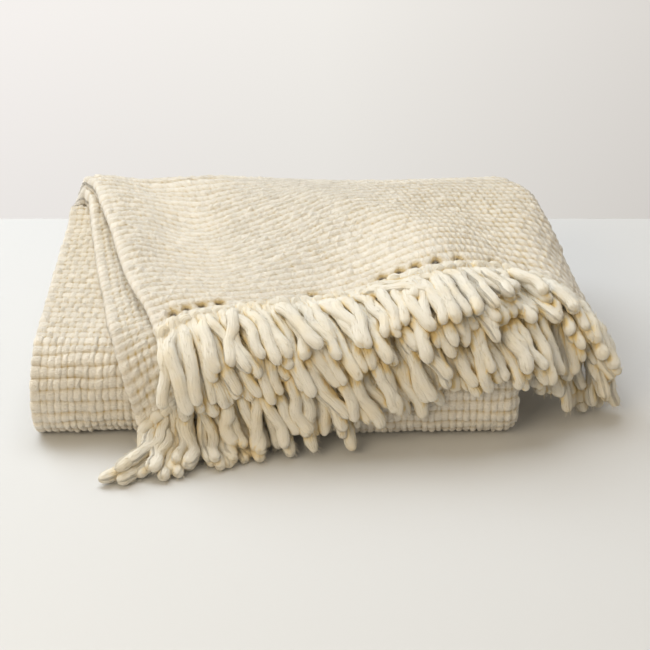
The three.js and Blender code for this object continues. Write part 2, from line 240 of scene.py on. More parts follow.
def place(across, turn, reach, station, slide=0.0):
    """Points of the folded cloth.

    Across runs from the selvedge (0) to the fold (1), turn goes round the fold, and reach is from the pair's
    middle.
    """
    across, turn, reach, station, slide = np.broadcast_arrays(across, turn, reach, station, slide)
    station = station.astype(float)
    layer = np.sin(turn)
    y, z, heading = section_point(station)
    offset = reach * layer
    upward = -np.cos(heading)
    middle = (left_edge(station, -1.0) + left_edge(station, 1.0)) / 2
    right = middle + SPAN + mix(-PACK_TAKE_UP, FLAP_SLACK, ease(station, *SLACKENS))
    right = right + CORNER_SLACK * ease(station, *CORNER_SLACKENS)
    flat = mix(left_edge(station, layer), right, across) + reach * np.cos(turn) + slide
    forward = station - FLAP_START
    y = y + np.sin(heading) * offset
    z = z + upward * offset

    past = np.maximum(flat - BEND_X, 0)
    angle = np.minimum(past / BEND_RADIUS, BEND_LIMIT)
    straight = past - BEND_RADIUS * angle
    lift = BEND_RADIUS + offset * upward
    bend = np.where(past > 0, ease(forward, *BEND_GROWS), 0)
    x = mix(flat, BEND_X + lift * np.sin(angle) + straight * np.cos(angle), bend)
    z = z + bend * (lift * (np.cos(angle) - 1) - straight * np.sin(angle))

    rise = np.zeros_like(x)
    for soft_x, soft_forward, half_x, half_forward, height, runs_on in RELIEF:
        ahead = forward - soft_forward
        ahead = np.minimum(ahead, 0) if runs_on else ahead
        rise += height * np.exp(-(((x - soft_x) / half_x) ** 2) - (ahead / half_forward) ** 2)
    rise *= mix(LOWER_RELIEF_SHARE, 1, (1 + layer) / 2)
    for from_x, from_ahead, to_x, to_ahead, half, upper, lower in CREASES:
        run_x, run_ahead = to_x - from_x, to_ahead - from_ahead
        share = ((x - from_x) * run_x + (forward - from_ahead) * run_ahead) / (run_x ** 2 + run_ahead ** 2)
        share = np.clip(share, 0, 1)
        away = np.hypot(x - from_x - share * run_x, forward - from_ahead - share * run_ahead)
        rise += mix(lower, upper, (1 + layer) / 2) * np.exp(-((away / half) ** 2))
    z = z + rise * ease(forward, *RELIEF_GROWS)

    z = z * (1 + HEIGHT_WAVES * ripple(x, *HEIGHT_WAVES_X) * ripple(y, *HEIGHT_WAVES_Y))
    y = np.where(y < 0, y * (1 + FRONT_WAVES * ripple(x, *FRONT_WAVES_X)), y)
    return np.stack([x + FRAME_SHIFT_X, y + FRAME_SHIFT_Y, z], axis=-1)


# The weave: warp pebbles about 9 mm wide in weft rows about 15 mm apart, alternately fat and slim. A
# style is the twist of a row's pebbles, how deep the seams between them are, the slim ones' share of the
# fat, their stagger and how square they are.
WARP_CELLS = 68
FOLD_CELLS = 6
WARP_PITCH = 9.1
WEFT_PITCH = 15.0
PEBBLE_FAT = 3.9
PEBBLE_MEAN = 2.1
PEBBLE_SPREAD = 0.2
ROW_WANDER = 0.07
COLUMN_WANDER = 0.08
LOFT_HEIGHT = 0.8
# Cells across and rows along over which the rows' wander and the loft change
WANDER_CELLS = 3
LOFT_CELLS = 5
LOFT_ROWS = 4
# Part of a cell in which its seam goes over to the next row's, and where its twist starts
SEAM_CHANGES = (0.25, 0.75)
TWIST_FROM = 0.1
# Cells from the selvedge over which the seams deepen
SEAM_DEEPENS = (0.1, 1.2)
SEAM_DEPTHS = (0.5, 1.25)
ROW_DEPTHS = (0.65, 1.1)
# How much the row's groove, the seam and the pit where they cross count towards the painted shade in the
# grooves
ROW_GROOVE_SHADE = 0.6
SEAM_GROOVE_SHADE = 0.5
CROSS_GROOVE_SHADE = 0.7
HIDDEN_WEAVE = (0.0, 0.5, 0.8, 0.1, 2.4)
FRONT_WEAVE = (0.04, 0.75, 0.88, 0.05, 3.0)
STRIP_WEAVE = (0.12, 0.6, 0.65, 0.12, 2.4)
TURN_WEAVE = (0.4, 0.3, 0.92, 0.12, 2.2)
FLAP_WEAVE = (0.5, 0.3, 0.92, 0.12, 2.2)
CORNER_WEAVE = (0.12, 0.85, 0.88, 0.08, 2.4)
LOWER_WEAVE = (0.06, 0.65, 0.85, 0.08, 2.6)
WEFT_ROWS = 160
WEAVE_SEED = 11
SPARE = 3
NUDGE = 1e-6
LAST_CELL = 2 * WARP_CELLS + FOLD_CELLS
CELLS = (LAST_CELL + 2, WEFT_ROWS)
chance = np.random.default_rng(WEAVE_SEED)
cell_size = np.clip(chance.normal(0, 1, CELLS), -2, 2)
cell_tone = chance.random(CELLS)
cell_shift = chance.normal(0, 1, CELLS)
seam_depth = chance.uniform(*SEAM_DEPTHS, CELLS)
row_depth = chance.uniform(*ROW_DEPTHS, CELLS)
row_shift = chance.normal(0, 1, (CELLS[0] // WANDER_CELLS + SPARE, WEFT_ROWS))
loft = chance.normal(0, 1, (CELLS[0] // LOFT_CELLS + SPARE, WEFT_ROWS // 2 + SPARE))


def lattice(table, u, v):
    """Smooth value between the entries of a table."""
    i, j = np.floor(u).astype(int), np.floor(v).astype(int)
    fu, fv = ease(u - i, 0, 1), ease(v - j, 0, 1)
    low = mix(table[i, j], table[i + 1, j], fu)
    return mix(low, mix(table[i, j + 1], table[i + 1, j + 1], fu), fv)


def weave(u, v, twist, seams, slim, stagger, square):
    """Shift across and along in cells, height in mm, painted groove shade and tone of the cloth at cell (u,
    v).
    """
    i, fu = np.floor(u + NUDGE).astype(int), (u + NUDGE) % 1
    j, fv = np.floor(v + NUDGE).astype(int), (v + NUDGE) % 1
    row = np.maximum(np.floor(v - 0.5 + NUDGE).astype(int), 0)
    changes_from, changes_to = SEAM_CHANGES
    share = np.clip(((v - 0.5 + NUDGE) % 1 - changes_from) / (changes_to - changes_from), 0, 1)
    parity = 1 - 2 * ((i + j) % 2)

    def at_seam(k):
        """Shift of the seam between two pebbles of a row."""
        side = stagger * (1 - 2 * ((k + row) % 2))
        here = COLUMN_WANDER * cell_shift[k, row] + side
        there = COLUMN_WANDER * cell_shift[k, row + 1] - side
        return mix(here, there, share)

    across = mix(at_seam(i), at_seam(i + 1), fu) + twist * np.where(fv < TWIST_FROM, 0, fv - 0.5)
    lengthwise = ROW_WANDER * lattice(row_shift, u / WANDER_CELLS, v)
    deepens = ease(np.minimum(u, LAST_CELL - u), *SEAM_DEEPENS)
    dome_u = 1 - np.abs(2 * fu - 1) ** square * deepens * seam_depth[i + (fu > 0.5), j]
    dome_v = 1 - np.abs(2 * fv - 1) ** square * row_depth[i, j + (fv > 0.5)]
    size = PEBBLE_FAT * np.where(parity > 0, 1.0, slim) * (1 + PEBBLE_SPREAD * cell_size[i, j])
    lofty = LOFT_HEIGHT * lattice(loft, u / LOFT_CELLS, v / LOFT_ROWS)
    height = size * dome_v * (1 - seams * (1 - dome_u)) - PEBBLE_MEAN + lofty
    # The groove value is painted shade: deepest down in the row's groove, the seams and the pits where they
    # cross
    groove_shade = ROW_GROOVE_SHADE * (1 - dome_v) + SEAM_GROOVE_SHADE * seams * (1 - dome_u)
    groove_shade = groove_shade + CROSS_GROOVE_SHADE * (1 - dome_u) * (1 - dome_v)
    return across, lengthwise, height, groove_shade, cell_tone[i, j]


# Columns round the doubled cloth, as the number of a block plus a share of it: the outer face of the
# lower layer, the outside of the fold, the outer face of the upper layer, its selvedge, the inner faces
# and the lower selvedge
LOWER_OUT, FOLD_OUT, UPPER_OUT, UPPER_RIM, UPPER_IN, FOLD_IN, LOWER_IN, LOWER_RIM = range(8)
ALL_ROUND = 8.0
BEYOND = 9.0
# Shares of a cell or of a weft row at which the mesh has a column or a row
FIVE_STEPS = (0.0, 0.11, 0.32, 0.68, 0.89)
FOUR_STEPS = (0.0, 0.17, 0.5, 0.83)
THREE_STEPS = (0.0, 0.25, 0.75)
TWO_STEPS = (0.0, 0.5)
COARSE = 10
INNER_FOLD_STEPS = 4
RIM_STEPS = 8
fine_face = np.ravel(np.arange(WARP_CELLS)[:, None] + np.array(THREE_STEPS)) / WARP_CELLS
finer_face = np.ravel(np.arange(WARP_CELLS)[:, None] + np.array(FIVE_STEPS)) / WARP_CELLS
coarse_face = np.arange(COARSE) / COARSE
fold_face = np.ravel(np.arange(FOLD_CELLS)[:, None] + np.array(THREE_STEPS)) / FOLD_CELLS
inner_fold = np.arange(INNER_FOLD_STEPS) / INNER_FOLD_STEPS
rim = np.arange(RIM_STEPS) / RIM_STEPS


def columns(lower, upper, lower_inside):
    """Columns all round, from those of the lower face, the upper face and the inside of the lower layer."""
    blocks = (lower, fold_face, upper, rim, coarse_face, inner_fold, lower_inside, rim)
    return np.concatenate([number + block for number, block in enumerate(blocks)])


def partly(share):
    """Fine from the selvedge up to a share of the face, coarse beyond."""
    return np.concatenate([fine_face[fine_face < share], coarse_face[coarse_face > share]])


UPPER_SHOWS = 0.24
LOWER_SHOWS = 0.2
hidden_columns = columns(coarse_face, coarse_face, coarse_face)
front_columns = columns(finer_face, coarse_face, coarse_face)
under_columns = columns(fine_face, coarse_face, coarse_face)
upper_columns = columns(partly(UPPER_SHOWS), coarse_face, coarse_face)
turn_columns = columns(coarse_face, fine_face, coarse_face)
towards_selvedge = 1 - partly(LOWER_SHOWS)[:0:-1]
flap_columns = columns(coarse_face, fine_face, np.concatenate([[0.0], towards_selvedge]))

# Rows along the cloth: stations, outer lengths between them, weft rows, mesh rows in each, columns, style
# of weave
OUTSIDE = HALF_PITCH + HALF_THICKNESS
QUARTER = math.pi / 2
FOOT_LEAD = 10.0
FOOT_TURN = TURN_START["bottom pass"]
EVEN = (1.0,)
FRONT_STATIONS = (FOOT_TURN - FOOT_LEAD, FOOT_TURN, RUN_START["front wrap"], TURN_START["front wrap"],
                  RUN_START["upper pass"])
FRONT_LENGTHS = (FOOT_LEAD, (FOOT_RADIUS + OUTSIDE) * QUARTER, FRONT_RUN, (WRAP_RADIUS + OUTSIDE) * QUARTER)
STRETCHES = (
    ((0.0, TURN_START["hidden pass"]), EVEN, 22, TWO_STEPS, hidden_columns, HIDDEN_WEAVE),
    ((TURN_START["hidden pass"], RUN_START["bottom pass"]), EVEN, 8, THREE_STEPS, under_columns, STRIP_WEAVE),
    ((RUN_START["bottom pass"], FOOT_TURN - FOOT_LEAD), EVEN, 29, TWO_STEPS, hidden_columns, HIDDEN_WEAVE),
    (FRONT_STATIONS, FRONT_LENGTHS, 12, FIVE_STEPS, front_columns, FRONT_WEAVE),
    ((RUN_START["upper pass"], BACK_TURN), EVEN, 29, THREE_STEPS, upper_columns, STRIP_WEAVE),
    ((BACK_TURN, FLAP_START), EVEN, 8, FOUR_STEPS, turn_columns, TURN_WEAVE),
)
FLAP_WEFT_UPPER = 30
FLAP_WEFT_LOWER = 40
# The weave is squarer and deeper at the flap's right corner: share across, and pebbles and painted groove
# shade there
CORNER_FROM = (0.58, 0.76)
CORNER_PEBBLES = 1.1
CORNER_GROOVE_SHADE = 1.3
# The weft fans out over the flap: power of a row's share of the way to the fringe, from the selvedge to
# the fold. It dips towards the fringe a little way in from the selvedge, then climbs to the ridge.
FLOW = (
    (0, 0.95),
    (0.06, 1.04),
    (0.11, 1.04),
    (0.16, 0.92),
    (0.22, 0.82),
    (0.3, 0.98),
    (0.4, 1.35),
    (0.5, 1.8),
    (0.57, 2.05),
    (0.62, 2.1),
    (0.68, 2.05),
    (0.75, 2.0),
    (0.86, 2.05),
    (1, 2.1),
)
FLOW_EVEN = 0.22
# Where the weft rows lie closer, their pebbles are lower and the painted shade in their grooves fainter:
# least and greatest share
PEBBLE_LIMITS = (0.1, 1.1)
GROOVE_SHADE_LIMITS = (0.25, 1.0)
TURN_LIMITS = (0.3, 1.0)
# The rows don't wander at the ends of the flap, before it, or where the hidden end starts
STILL_SHARE = 0.05
STILL_RUN = 20.0
STILL_ROWS = 2
# The end lies askew, so towards the fold the flap's first rows start back in the turn: share across, how
# far back
ROWS_BACK = (
    (0, 0),
    (0.4, 0),
    (0.55, 24),
    (0.7, 50),
    (0.85, 58),
    (1, 58),
)
# Rows that round off the end: distance past it, share of the cloth's thickness
HEM_ROUND = ((2.6, 0.86), (4.6, 0.5))
# Eyelets that the locks draw open in the last rows of the upper layer: share from selvedge to fold, and
# distance back from the fringed end
EYELETS = (
    (0.043, 20),
    (0.077, 22),
    (0.113, 23),
    (0.152, 23),
    (0.357, 22),
    (0.515, 26),
    (0.552, 27),
    (0.588, 28),
    (0.638, 28),
    (0.693, 27),
    (0.785, 24),
)
EYELET_RADIUS = 5.8
EYELET_DEPTH = 12.0
# Painted shadow in the eyelets' pits: how far it pushes the colour towards dark brown
EYELET_PAINTED_SHADOW = 4.0
SELVEDGE_PEBBLES = 0.7
SELVEDGE_PROUD = 0.65
# At the selvedge the layers swell until they press on each other, all along the flap and in the back turn
SWELL_ACROSS = 0.14
FLAP_SWELL = 8.0
TURN_SWELL = 7.5
TURN_ROOM = 3.0
SWELL_GROWS = (BACK_TURN - 70, BACK_TURN)
TURN_SWELL_FADES = (FLAP_START + 20, FLAP_START + 120)
INTO_TURN = (BACK_TURN - 14, BACK_TURN + 6)
OUT_OF_TURN = (FLAP_START - 6, FLAP_START + 14)
# Painted shade, a warmer tan, where another layer lies close over the wool: the inner faces of the flap, and
# the pass below it
PAINTED_SHADE_BETWEEN = 0.35
PAINTED_SHADE_BELOW = 0.2
PAINTED_SHADE_FADES = (FLAP_START + 60, FLAP_START + 330)
# Places the pattern of the fibres elsewhere on the inner faces
INNER_YARN = 500.0
JUST_INSIDE = 1e-4

rows = []
weft = 0
for stations, spans, count, steps, row_columns, style in STRETCHES:
    lengths = np.concatenate([[0.0], np.cumsum(spans)])
    for k in range(count):
        for step in steps:
            station = np.interp((k + step) / count * lengths[-1], lengths, stations)
            at = weft + k + step
            rows.append({"row_columns": row_columns, "weft_lower": at, "weft_upper": at,
                         "style": style, "under_style": style, "station": station})
    weft_back = weft
    weft += count
flap_steps = [k + step for k in range(FLAP_WEFT_UPPER) for step in FOUR_STEPS] + [FLAP_WEFT_UPPER]
for order, step in enumerate(flap_steps):
    upper, lower = step / FLAP_WEFT_UPPER, order / (len(flap_steps) - 1)
    rows.append({"row_columns": flap_columns, "weft_lower": weft + FLAP_WEFT_LOWER * lower,
                 "weft_upper": weft + step, "style": FLAP_WEAVE, "under_style": LOWER_WEAVE,
                 "share_lower": lower, "share_upper": upper})
for past, girth in HEM_ROUND:
    rows.append({"row_columns": flap_columns, "weft_lower": weft + FLAP_WEFT_LOWER,
                 "weft_upper": weft + FLAP_WEFT_UPPER, "style": FLAP_WEAVE, "under_style": LOWER_WEAVE,
                 "share_lower": 1.0, "share_upper": 1.0, "past": past, "girth": girth})


def cloth_row(row_columns, weft_lower, weft_upper, style, under_style, station=None, share_lower=None,
              share_upper=None, past=0.0, girth=1.0):
    """Points of one row round the doubled cloth, with weave coordinates, painted groove shade and tone.

    A row of the pack has its station. A row of the flap has its share of the way to the fringed end instead.
    """
    block = np.floor(row_columns + NUDGE).astype(int)
    f = row_columns - block
    lower_out, fold_out, upper_out = block == LOWER_OUT, block == FOLD_OUT, block == UPPER_OUT
    lower_in, fold_in, upper_in = block == LOWER_IN, block == FOLD_IN, block == UPPER_IN
    lower_rim, upper_rim = block == LOWER_RIM, block == UPPER_RIM
    across = np.select([lower_out, upper_out, upper_in, lower_in], [f, 1 - f, f, 1 - f], 0.0)
    across = np.where(fold_out | fold_in, 1.0, across)
    turn = np.select([lower_out | lower_in | lower_rim, fold_out, fold_in],
                     [-np.pi / 2, np.pi * (f - 0.5), np.pi * (0.5 - f)], np.pi / 2)
    side = np.select([block <= UPPER_OUT, upper_rim, block <= LOWER_IN],
                     [1.0, np.cos(np.pi * f), -1.0], -np.cos(np.pi * f))
    rounded = upper_rim | lower_rim
    bulge = np.where(rounded, np.sin(np.pi * f), 0.0)
    upper = np.sin(turn) > 0
    u = np.select([lower_out, fold_out, upper_out, upper_rim, upper_in, lower_in],
                  [WARP_CELLS * f, WARP_CELLS + FOLD_CELLS * f, LAST_CELL - WARP_CELLS * (1 - f),
                   LAST_CELL - JUST_INSIDE, LAST_CELL - WARP_CELLS * f, WARP_CELLS * (1 - f)], 0.0)
    u = np.minimum(u, LAST_CELL - JUST_INSIDE)
    v = np.where(upper | fold_out, weft_upper, weft_lower)
    on_top = (fold_out | upper_out | upper_rim) & (weft_upper > weft_back)
    corner = ease(across, *CORNER_FROM)
    styles = [np.where(on_top, mix(over, at_corner, corner), under)
              for over, at_corner, under in zip(style, CORNER_WEAVE, under_style)]
    shift_u, shift_v, height, groove_shade, tone = weave(u, v, *styles)
    pebbles = np.where(on_top, mix(1.0, CORNER_PEBBLES, corner), 1.0)
    height = height * np.where(rounded, SELVEDGE_PEBBLES, pebbles)
    groove_shade = groove_shade * np.where(on_top, mix(1.0, CORNER_GROOVE_SHADE, corner), 1.0)
    flat = lower_out | upper_out | upper_in | lower_in
    inside = ease(across * WARP_CELLS, 0, 1) * ease((1 - across) * WARP_CELLS, 0, 1)
    direction = np.where(upper_out | upper_in, -1.0, 1.0)
    across = np.clip(across + np.where(flat, direction * inside * shift_u / WARP_CELLS, 0.0), 0, 1)
    start = FLAP_START - along(ROWS_BACK, 1, across)
    if station is None:
        end = end_station(across, np.sin(turn))
        share = np.where(upper, share_upper, share_lower)
        flow = along(FLOW, 1, across)
        pace = mix(flow * np.maximum(share, JUST_INSIDE) ** (flow - 1), 1.0, FLOW_EVEN)
        pitch = (end - start) * pace / FLAP_WEFT_UPPER
        height = height * np.clip(pitch / WEFT_PITCH, *PEBBLE_LIMITS)
        groove_shade = groove_shade * np.clip(pitch / WEFT_PITCH, *GROOVE_SHADE_LIMITS)
        station = mix(start, end, mix(share ** flow, share, FLOW_EVEN)) + past
        shift = np.minimum(pitch, WEFT_PITCH) * shift_v
        station = station + shift * ease(1 - share, 0, STILL_SHARE) * ease(share, 0, STILL_SHARE)
        for eyelet, back in EYELETS:
            away = np.hypot((across - eyelet) * SPAN, station - end + back) / EYELET_RADIUS
            pit = np.where(upper_out, np.exp(-away ** 2), 0.0)
            height = height - EYELET_DEPTH * pit
            # Painted shadow darkens each eyelet's pit
            groove_shade = groove_shade + EYELET_PAINTED_SHADOW * pit
    else:
        shrink = np.where(station > BACK_TURN, (start - BACK_TURN) / (FLAP_START - BACK_TURN), 1.0)
        height = height * np.clip(shrink, *TURN_LIMITS)
        shift = WEFT_PITCH * shift_v * min(weft_upper / STILL_ROWS, 1)
        shift = shift * ease(FLAP_START - station, 0, STILL_RUN)
        station = mix(BACK_TURN, station, shrink) + shrink * shift
    near = 1 - ease(across, 0, SWELL_ACROSS)
    turned = ease(station, *SWELL_GROWS)
    in_turn = ease(station, *INTO_TURN) * (1 - ease(station, *OUT_OF_TURN))
    pressed = np.where(upper, 0.0, mix(FLAP_SWELL, TURN_ROOM, in_turn)) * turned
    between = TURN_SWELL * turned * (1 - ease(station, *TURN_SWELL_FADES))
    swell = near * np.where(side > 0, pressed, between)
    reach = HALF_PITCH + girth * side * (HALF_THICKNESS + height + swell)
    slide = -bulge * girth * SELVEDGE_PROUD * (HALF_THICKNESS + height)
    points = place(across, turn, reach, np.maximum(station, 0.0), slide)
    points[:, 2] = np.maximum(points[:, 2], 0.0)
    # Painted shade, a warmer tan, on the inner faces near the back turn and on the pass below the flap
    close = turned * (1 - ease(station, *PAINTED_SHADE_FADES))
    groove_shade = groove_shade + np.where(upper_in | fold_in | lower_in, PAINTED_SHADE_BETWEEN, 0.0) * close
    groove_shade = groove_shade + np.where(lower_out, PAINTED_SHADE_BELOW, 0.0) * ease(station, RUN_START["upper pass"], BACK_TURN)
    yarn = np.stack([u * WARP_PITCH, v * WEFT_PITCH, np.where(side > 0, 0.0, INNER_YARN)], axis=-1)
    return points, yarn, groove_shade, tone


def zip_lines(first, second):
    """Triangles between two lines of columns and points, taken in the order of their columns."""
    faces = []
    i = j = 0
    while i + 1 < len(first) or j + 1 < len(second):
        next_first = first[i + 1][0] if i + 1 < len(first) else BEYOND
        next_second = second[j + 1][0] if j + 1 < len(second) else BEYOND
        if next_first <= next_second:
            faces.append((first[i][1], first[i + 1][1], second[j][1]))
            i += 1
        else:
            faces.append((first[i][1], second[j + 1][1], second[j][1]))
            j += 1
    return faces


def closed_line(start, row_columns):
    """A row's columns and points, all round and back to the first point."""
    return [(column, start + k) for k, column in enumerate(row_columns)] + [(ALL_ROUND, start)]


def close_end(start, row_columns):
    """Triangles that close the end of the doubled cloth between its outer and inner faces."""
    block = np.floor(row_columns + NUDGE).astype(int)
    line = closed_line(start, row_columns)[:-1]
    outer = [pair for pair, number in zip(line, block) if number < UPPER_RIM]
    inner = [(LOWER_RIM - column, point) for (column, point), number in zip(line, block)
             if UPPER_IN <= number <= LOWER_IN]
    upper_rim = [point for (column, point), number in zip(line, block) if number == UPPER_RIM]
    lower_rim = [point for (column, point), number in zip(line, block) if number == LOWER_RIM]
    outer = outer + [(float(UPPER_RIM), upper_rim[0])]
    inner = sorted(inner + [(0.0, lower_rim[0])])
    faces = [(a, c, b) for a, b, c in zip_lines(outer, inner)]
    for edge in (upper_rim + [inner[-1][1]], lower_rim + [outer[0][1]]):
        faces += [(edge[0], edge[k + 1], edge[k]) for k in range(1, len(edge) - 1)]
    return faces


points, yarns, groove_shades, tones, faces = [], [], [], [], []
starts = []
total = 0
for row in rows:
    row_points, row_yarn, row_groove_shade, row_tone = cloth_row(**row)
    points.append(row_points)
    yarns.append(row_yarn)
    groove_shades.append(row_groove_shade)
    tones.append(row_tone)
    starts.append(total)
    total += len(row_points)
for k in range(len(rows) - 1):
    first, second = starts[k], starts[k + 1]
    here, there = rows[k]["row_columns"], rows[k + 1]["row_columns"]
    if here is there:
        a = first + np.arange(len(here))
        b = first + (np.arange(len(here)) + 1) % len(here)
        step = second - first
        faces.append(np.stack([a, b, b + step], axis=-1))
        faces.append(np.stack([a, b + step, a + step], axis=-1))
    else:
        faces.append(np.array(zip_lines(closed_line(first, here), closed_line(second, there))))
faces.append(np.array(close_end(starts[0], rows[0]["row_columns"])))
faces.append(np.array(close_end(starts[-1], rows[-1]["row_columns"]))[:, ::-1])
points = np.concatenate(points) * MM
faces = np.concatenate(faces)


def mesh_piece(name, points, faces, attributes):
    """A smooth mesh object at the origin, with its point attributes."""
    mesh = bpy.data.meshes.new(name)
    mesh.from_pydata(points.tolist(), [], faces.tolist())
    for key, values in attributes.items():
        kind, field = ("FLOAT_VECTOR", "vector") if values.ndim == 2 else ("FLOAT", "value")
        mesh.attributes.new(key, kind, "POINT").data.foreach_set(field, np.ravel(values).astype(np.float32))
    mesh.shade_smooth()
    piece = bpy.data.objects.new(name, mesh)
    bpy.context.scene.collection.objects.link(piece)
    return piece


cloth = mesh_piece("woven_throw", points, faces, {
    "yarn": np.concatenate(yarns), "groove_shade": np.concatenate(groove_shades), "tone": np.concatenate(tones)})


def linear(colour):
    """Linear colour from an sRGB hex value."""
    channels = [int(colour[k:k + 2], 16) / 255 for k in (1, 3, 5)]
    return [c / 12.92 if c <= 0.04045 else ((c + 0.055) / 1.055) ** 2.4 for c in channels] + [1.0]


def node(tree, kind, inputs=None, **settings):
    """Adds a node with its settings, its values and its links."""
    made = tree.nodes.new(kind)
    for key, value in settings.items():
        setattr(made, key, value)
    for key, value in (inputs or {}).items():
        if isinstance(value, bpy.types.NodeSocket):
            tree.links.new(value, made.inputs[key])
        else:
            made.inputs[key].default_value = value
    return made


# Undyed wool, woven in thick soft singles: matt, cream on the crowns of the pebbles, with painted shade in a
# warmer tan down in the grooves and where layers lie close, painted shadow in dark brown in the eyelets,
# fine fibres running along the yarn and a faint sheen.
CROWN_COLOUR = "#eee8dc"
GROOVE_PAINTED_SHADE_COLOUR = "#c2ab7a"
EYELET_PAINTED_SHADOW_COLOUR = "#3f301c"
FIBRE_WIDTH_MM = 1.3
FIBRE_LENGTH_MM = 7.0
FIBRE_SLANT = math.radians(18)
FUZZ_MM = 3.6
FLECK_MM = 38.0
WOOL_RELIEF_MM = 2.6
GROOVE_SHADES = (0.1, 1.3)
EYELET_SHADES = (1.6, 2.6)
wool = bpy.data.materials.new("undyed_wool_plain_weave")
wool.use_nodes = True
tree = wool.node_tree
shader = tree.nodes["Principled BSDF"]
yarn = node(tree, "ShaderNodeAttribute", attribute_name="yarn")
groove_shade = node(tree, "ShaderNodeAttribute", attribute_name="groove_shade")
tone = node(tree, "ShaderNodeAttribute", attribute_name="tone")
fibre_space = node(tree, "ShaderNodeMapping", {
    "Vector": yarn.outputs["Vector"], "Rotation": (0.0, 0.0, FIBRE_SLANT),
    "Scale": (1 / FIBRE_LENGTH_MM, 1 / FIBRE_WIDTH_MM, 1.0)})
fibres = node(tree, "ShaderNodeTexNoise", {
    "Vector": fibre_space.outputs["Vector"], "Scale": 1.0, "Detail": 4.0, "Roughness": 0.6})
fleck_space = node(tree, "ShaderNodeMapping", {
    "Vector": yarn.outputs["Vector"], "Scale": (1 / FLECK_MM, 1 / FLECK_MM, 1.0)})
flecks = node(tree, "ShaderNodeTexNoise", {
    "Vector": fleck_space.outputs["Vector"], "Scale": 1.0, "Detail": 2.0})
# The groove attribute is painted shade: cream crowns, tan grooves, dark brown eyelets
painted_shade_depth = node(tree, "ShaderNodeMapRange", {
    "Value": groove_shade.outputs["Fac"], "From Min": GROOVE_SHADES[0], "From Max": GROOVE_SHADES[1]})
weave_with_painted_shade = node(tree, "ShaderNodeMix", {
    0: painted_shade_depth.outputs[0], 6: linear(CROWN_COLOUR), 7: linear(GROOVE_PAINTED_SHADE_COLOUR)}, data_type="RGBA")
pit = node(tree, "ShaderNodeMapRange", {
    "Value": groove_shade.outputs["Fac"], "From Min": EYELET_SHADES[0], "From Max": EYELET_SHADES[1]})
body = node(tree, "ShaderNodeMix", {
    0: pit.outputs[0], 6: weave_with_painted_shade.outputs[2], 7: linear(EYELET_PAINTED_SHADOW_COLOUR)}, data_type="RGBA")
dyeing = node(tree, "ShaderNodeMath", {0: tone.outputs["Fac"], 1: flecks.outputs["Fac"]}, operation="ADD")
shade = node(tree, "ShaderNodeMapRange", {
    "Value": dyeing.outputs[0], "From Min": 0.3, "From Max": 1.7, "To Min": 0.92, "To Max": 1.05})
spun = node(tree, "ShaderNodeMapRange", {
    "Value": fibres.outputs["Fac"], "From Min": 0.3, "From Max": 0.7, "To Min": 0.9, "To Max": 1.05})
shades = node(tree, "ShaderNodeMath", {0: shade.outputs[0], 1: spun.outputs[0]}, operation="MULTIPLY")
colour = node(tree, "ShaderNodeMix", {
    0: 1.0, 6: body.outputs[2], 7: shades.outputs[0]}, data_type="RGBA", blend_type="MULTIPLY")
fuzz_space = node(tree, "ShaderNodeMapping", {
    "Vector": yarn.outputs["Vector"], "Scale": (1 / FUZZ_MM, 1 / FUZZ_MM, 1.0)})
fuzz = node(tree, "ShaderNodeTexNoise", {"Vector": fuzz_space.outputs["Vector"], "Scale": 1.0, "Detail": 3.0})
hairs = node(tree, "ShaderNodeMath", {0: fibres.outputs["Fac"], 1: fuzz.outputs["Fac"]}, operation="ADD")
relief = node(tree, "ShaderNodeBump", {
    "Height": hairs.outputs[0], "Strength": 1.0, "Distance": WOOL_RELIEF_MM * MM})
tree.links.new(colour.outputs[2], shader.inputs["Base Color"])
tree.links.new(relief.outputs["Normal"], shader.inputs["Normal"])
shader.inputs["Roughness"].default_value = 0.95
shader.inputs["Specular IOR Level"].default_value = 0.08
shader.inputs["Sheen Weight"].default_value = 0.55
shader.inputs["Sheen Roughness"].default_value = 0.5
cloth.data.materials.append(wool)
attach(cloth, "root")
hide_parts("throw_cloth")

# The fringe: locks of soft ivory roving, each folded over the last weft row and drawn down, so that a
# lock is a short bar at the root with two legs. One row hangs from the lower layer of the flap, the other
# from the upper.
LOCKS = 41
LOCK_LENGTH = 108.0
LOCK_RADIUS = 8.0
# Legs of a lock: how far apart as a share of a lock's room, how far they lean apart, and how far along
# the end
LEG_SPACING = 0.6
LEGS_PART = 4.0
LEGS_WITHIN = (0.004, 0.998)
# Root of a lock and the bar between its legs: before the end, raised over the cloth, and back from the root
ROOT_INSET = 5.7
ROOT_RAISED = 4.0
HEAD_RAISED = 8.0
HEAD_BACK = 5.0
HEAD_POINTS = 6
# Past the pack's right end the legs hang free: steepest turn, heading of the upper and lower row, and
# from where
HANG_LIMIT = math.radians(84)
HANG_DOWN = {1: (0.36, -0.2, -0.9), -1: (0.16, -0.16, -0.97)}
HANG_FROM = {1: (0.8, 0.95), -1: (0.7, 0.88)}
HANG_SPREAD = (0.12, 0.14, 0.0)
# What is left to chance: places along the end, spacing, lean, height, length, turn, girth, and the bar
PLACE_SPREAD = 0.1
SPACING_SPREAD = 0.2
LEAN_SPREAD = 8.0
LIFT_SPREAD = 3.0
LENGTH_SPREAD = 0.07
LENGTH_LIMIT = 1.6
TURN_SPREAD = 0.2
GIRTH_SPREAD = 0.1
GIRTH_LIMIT = 1.5
HEAD_RAISED_SPREAD = 1.5
HEAD_BACK_SPREAD = 0.3
# Sways of a leg: spread and least width in mm, least and spread of its waves, and whether it lifts the leg
SWAYS = (
    (3.0, 1.2, 0.5, 0.5, 0),
    (2.0, 0.8, 1.4, 1.0, 0),
    (2.4, 0.0, 0.7, 0.6, 1),
)
SWAY_GROWS = 0.25
LEAN_POWER = 1.5
LEAST_FALL = 0.15
LIFT_RUN = 32.0
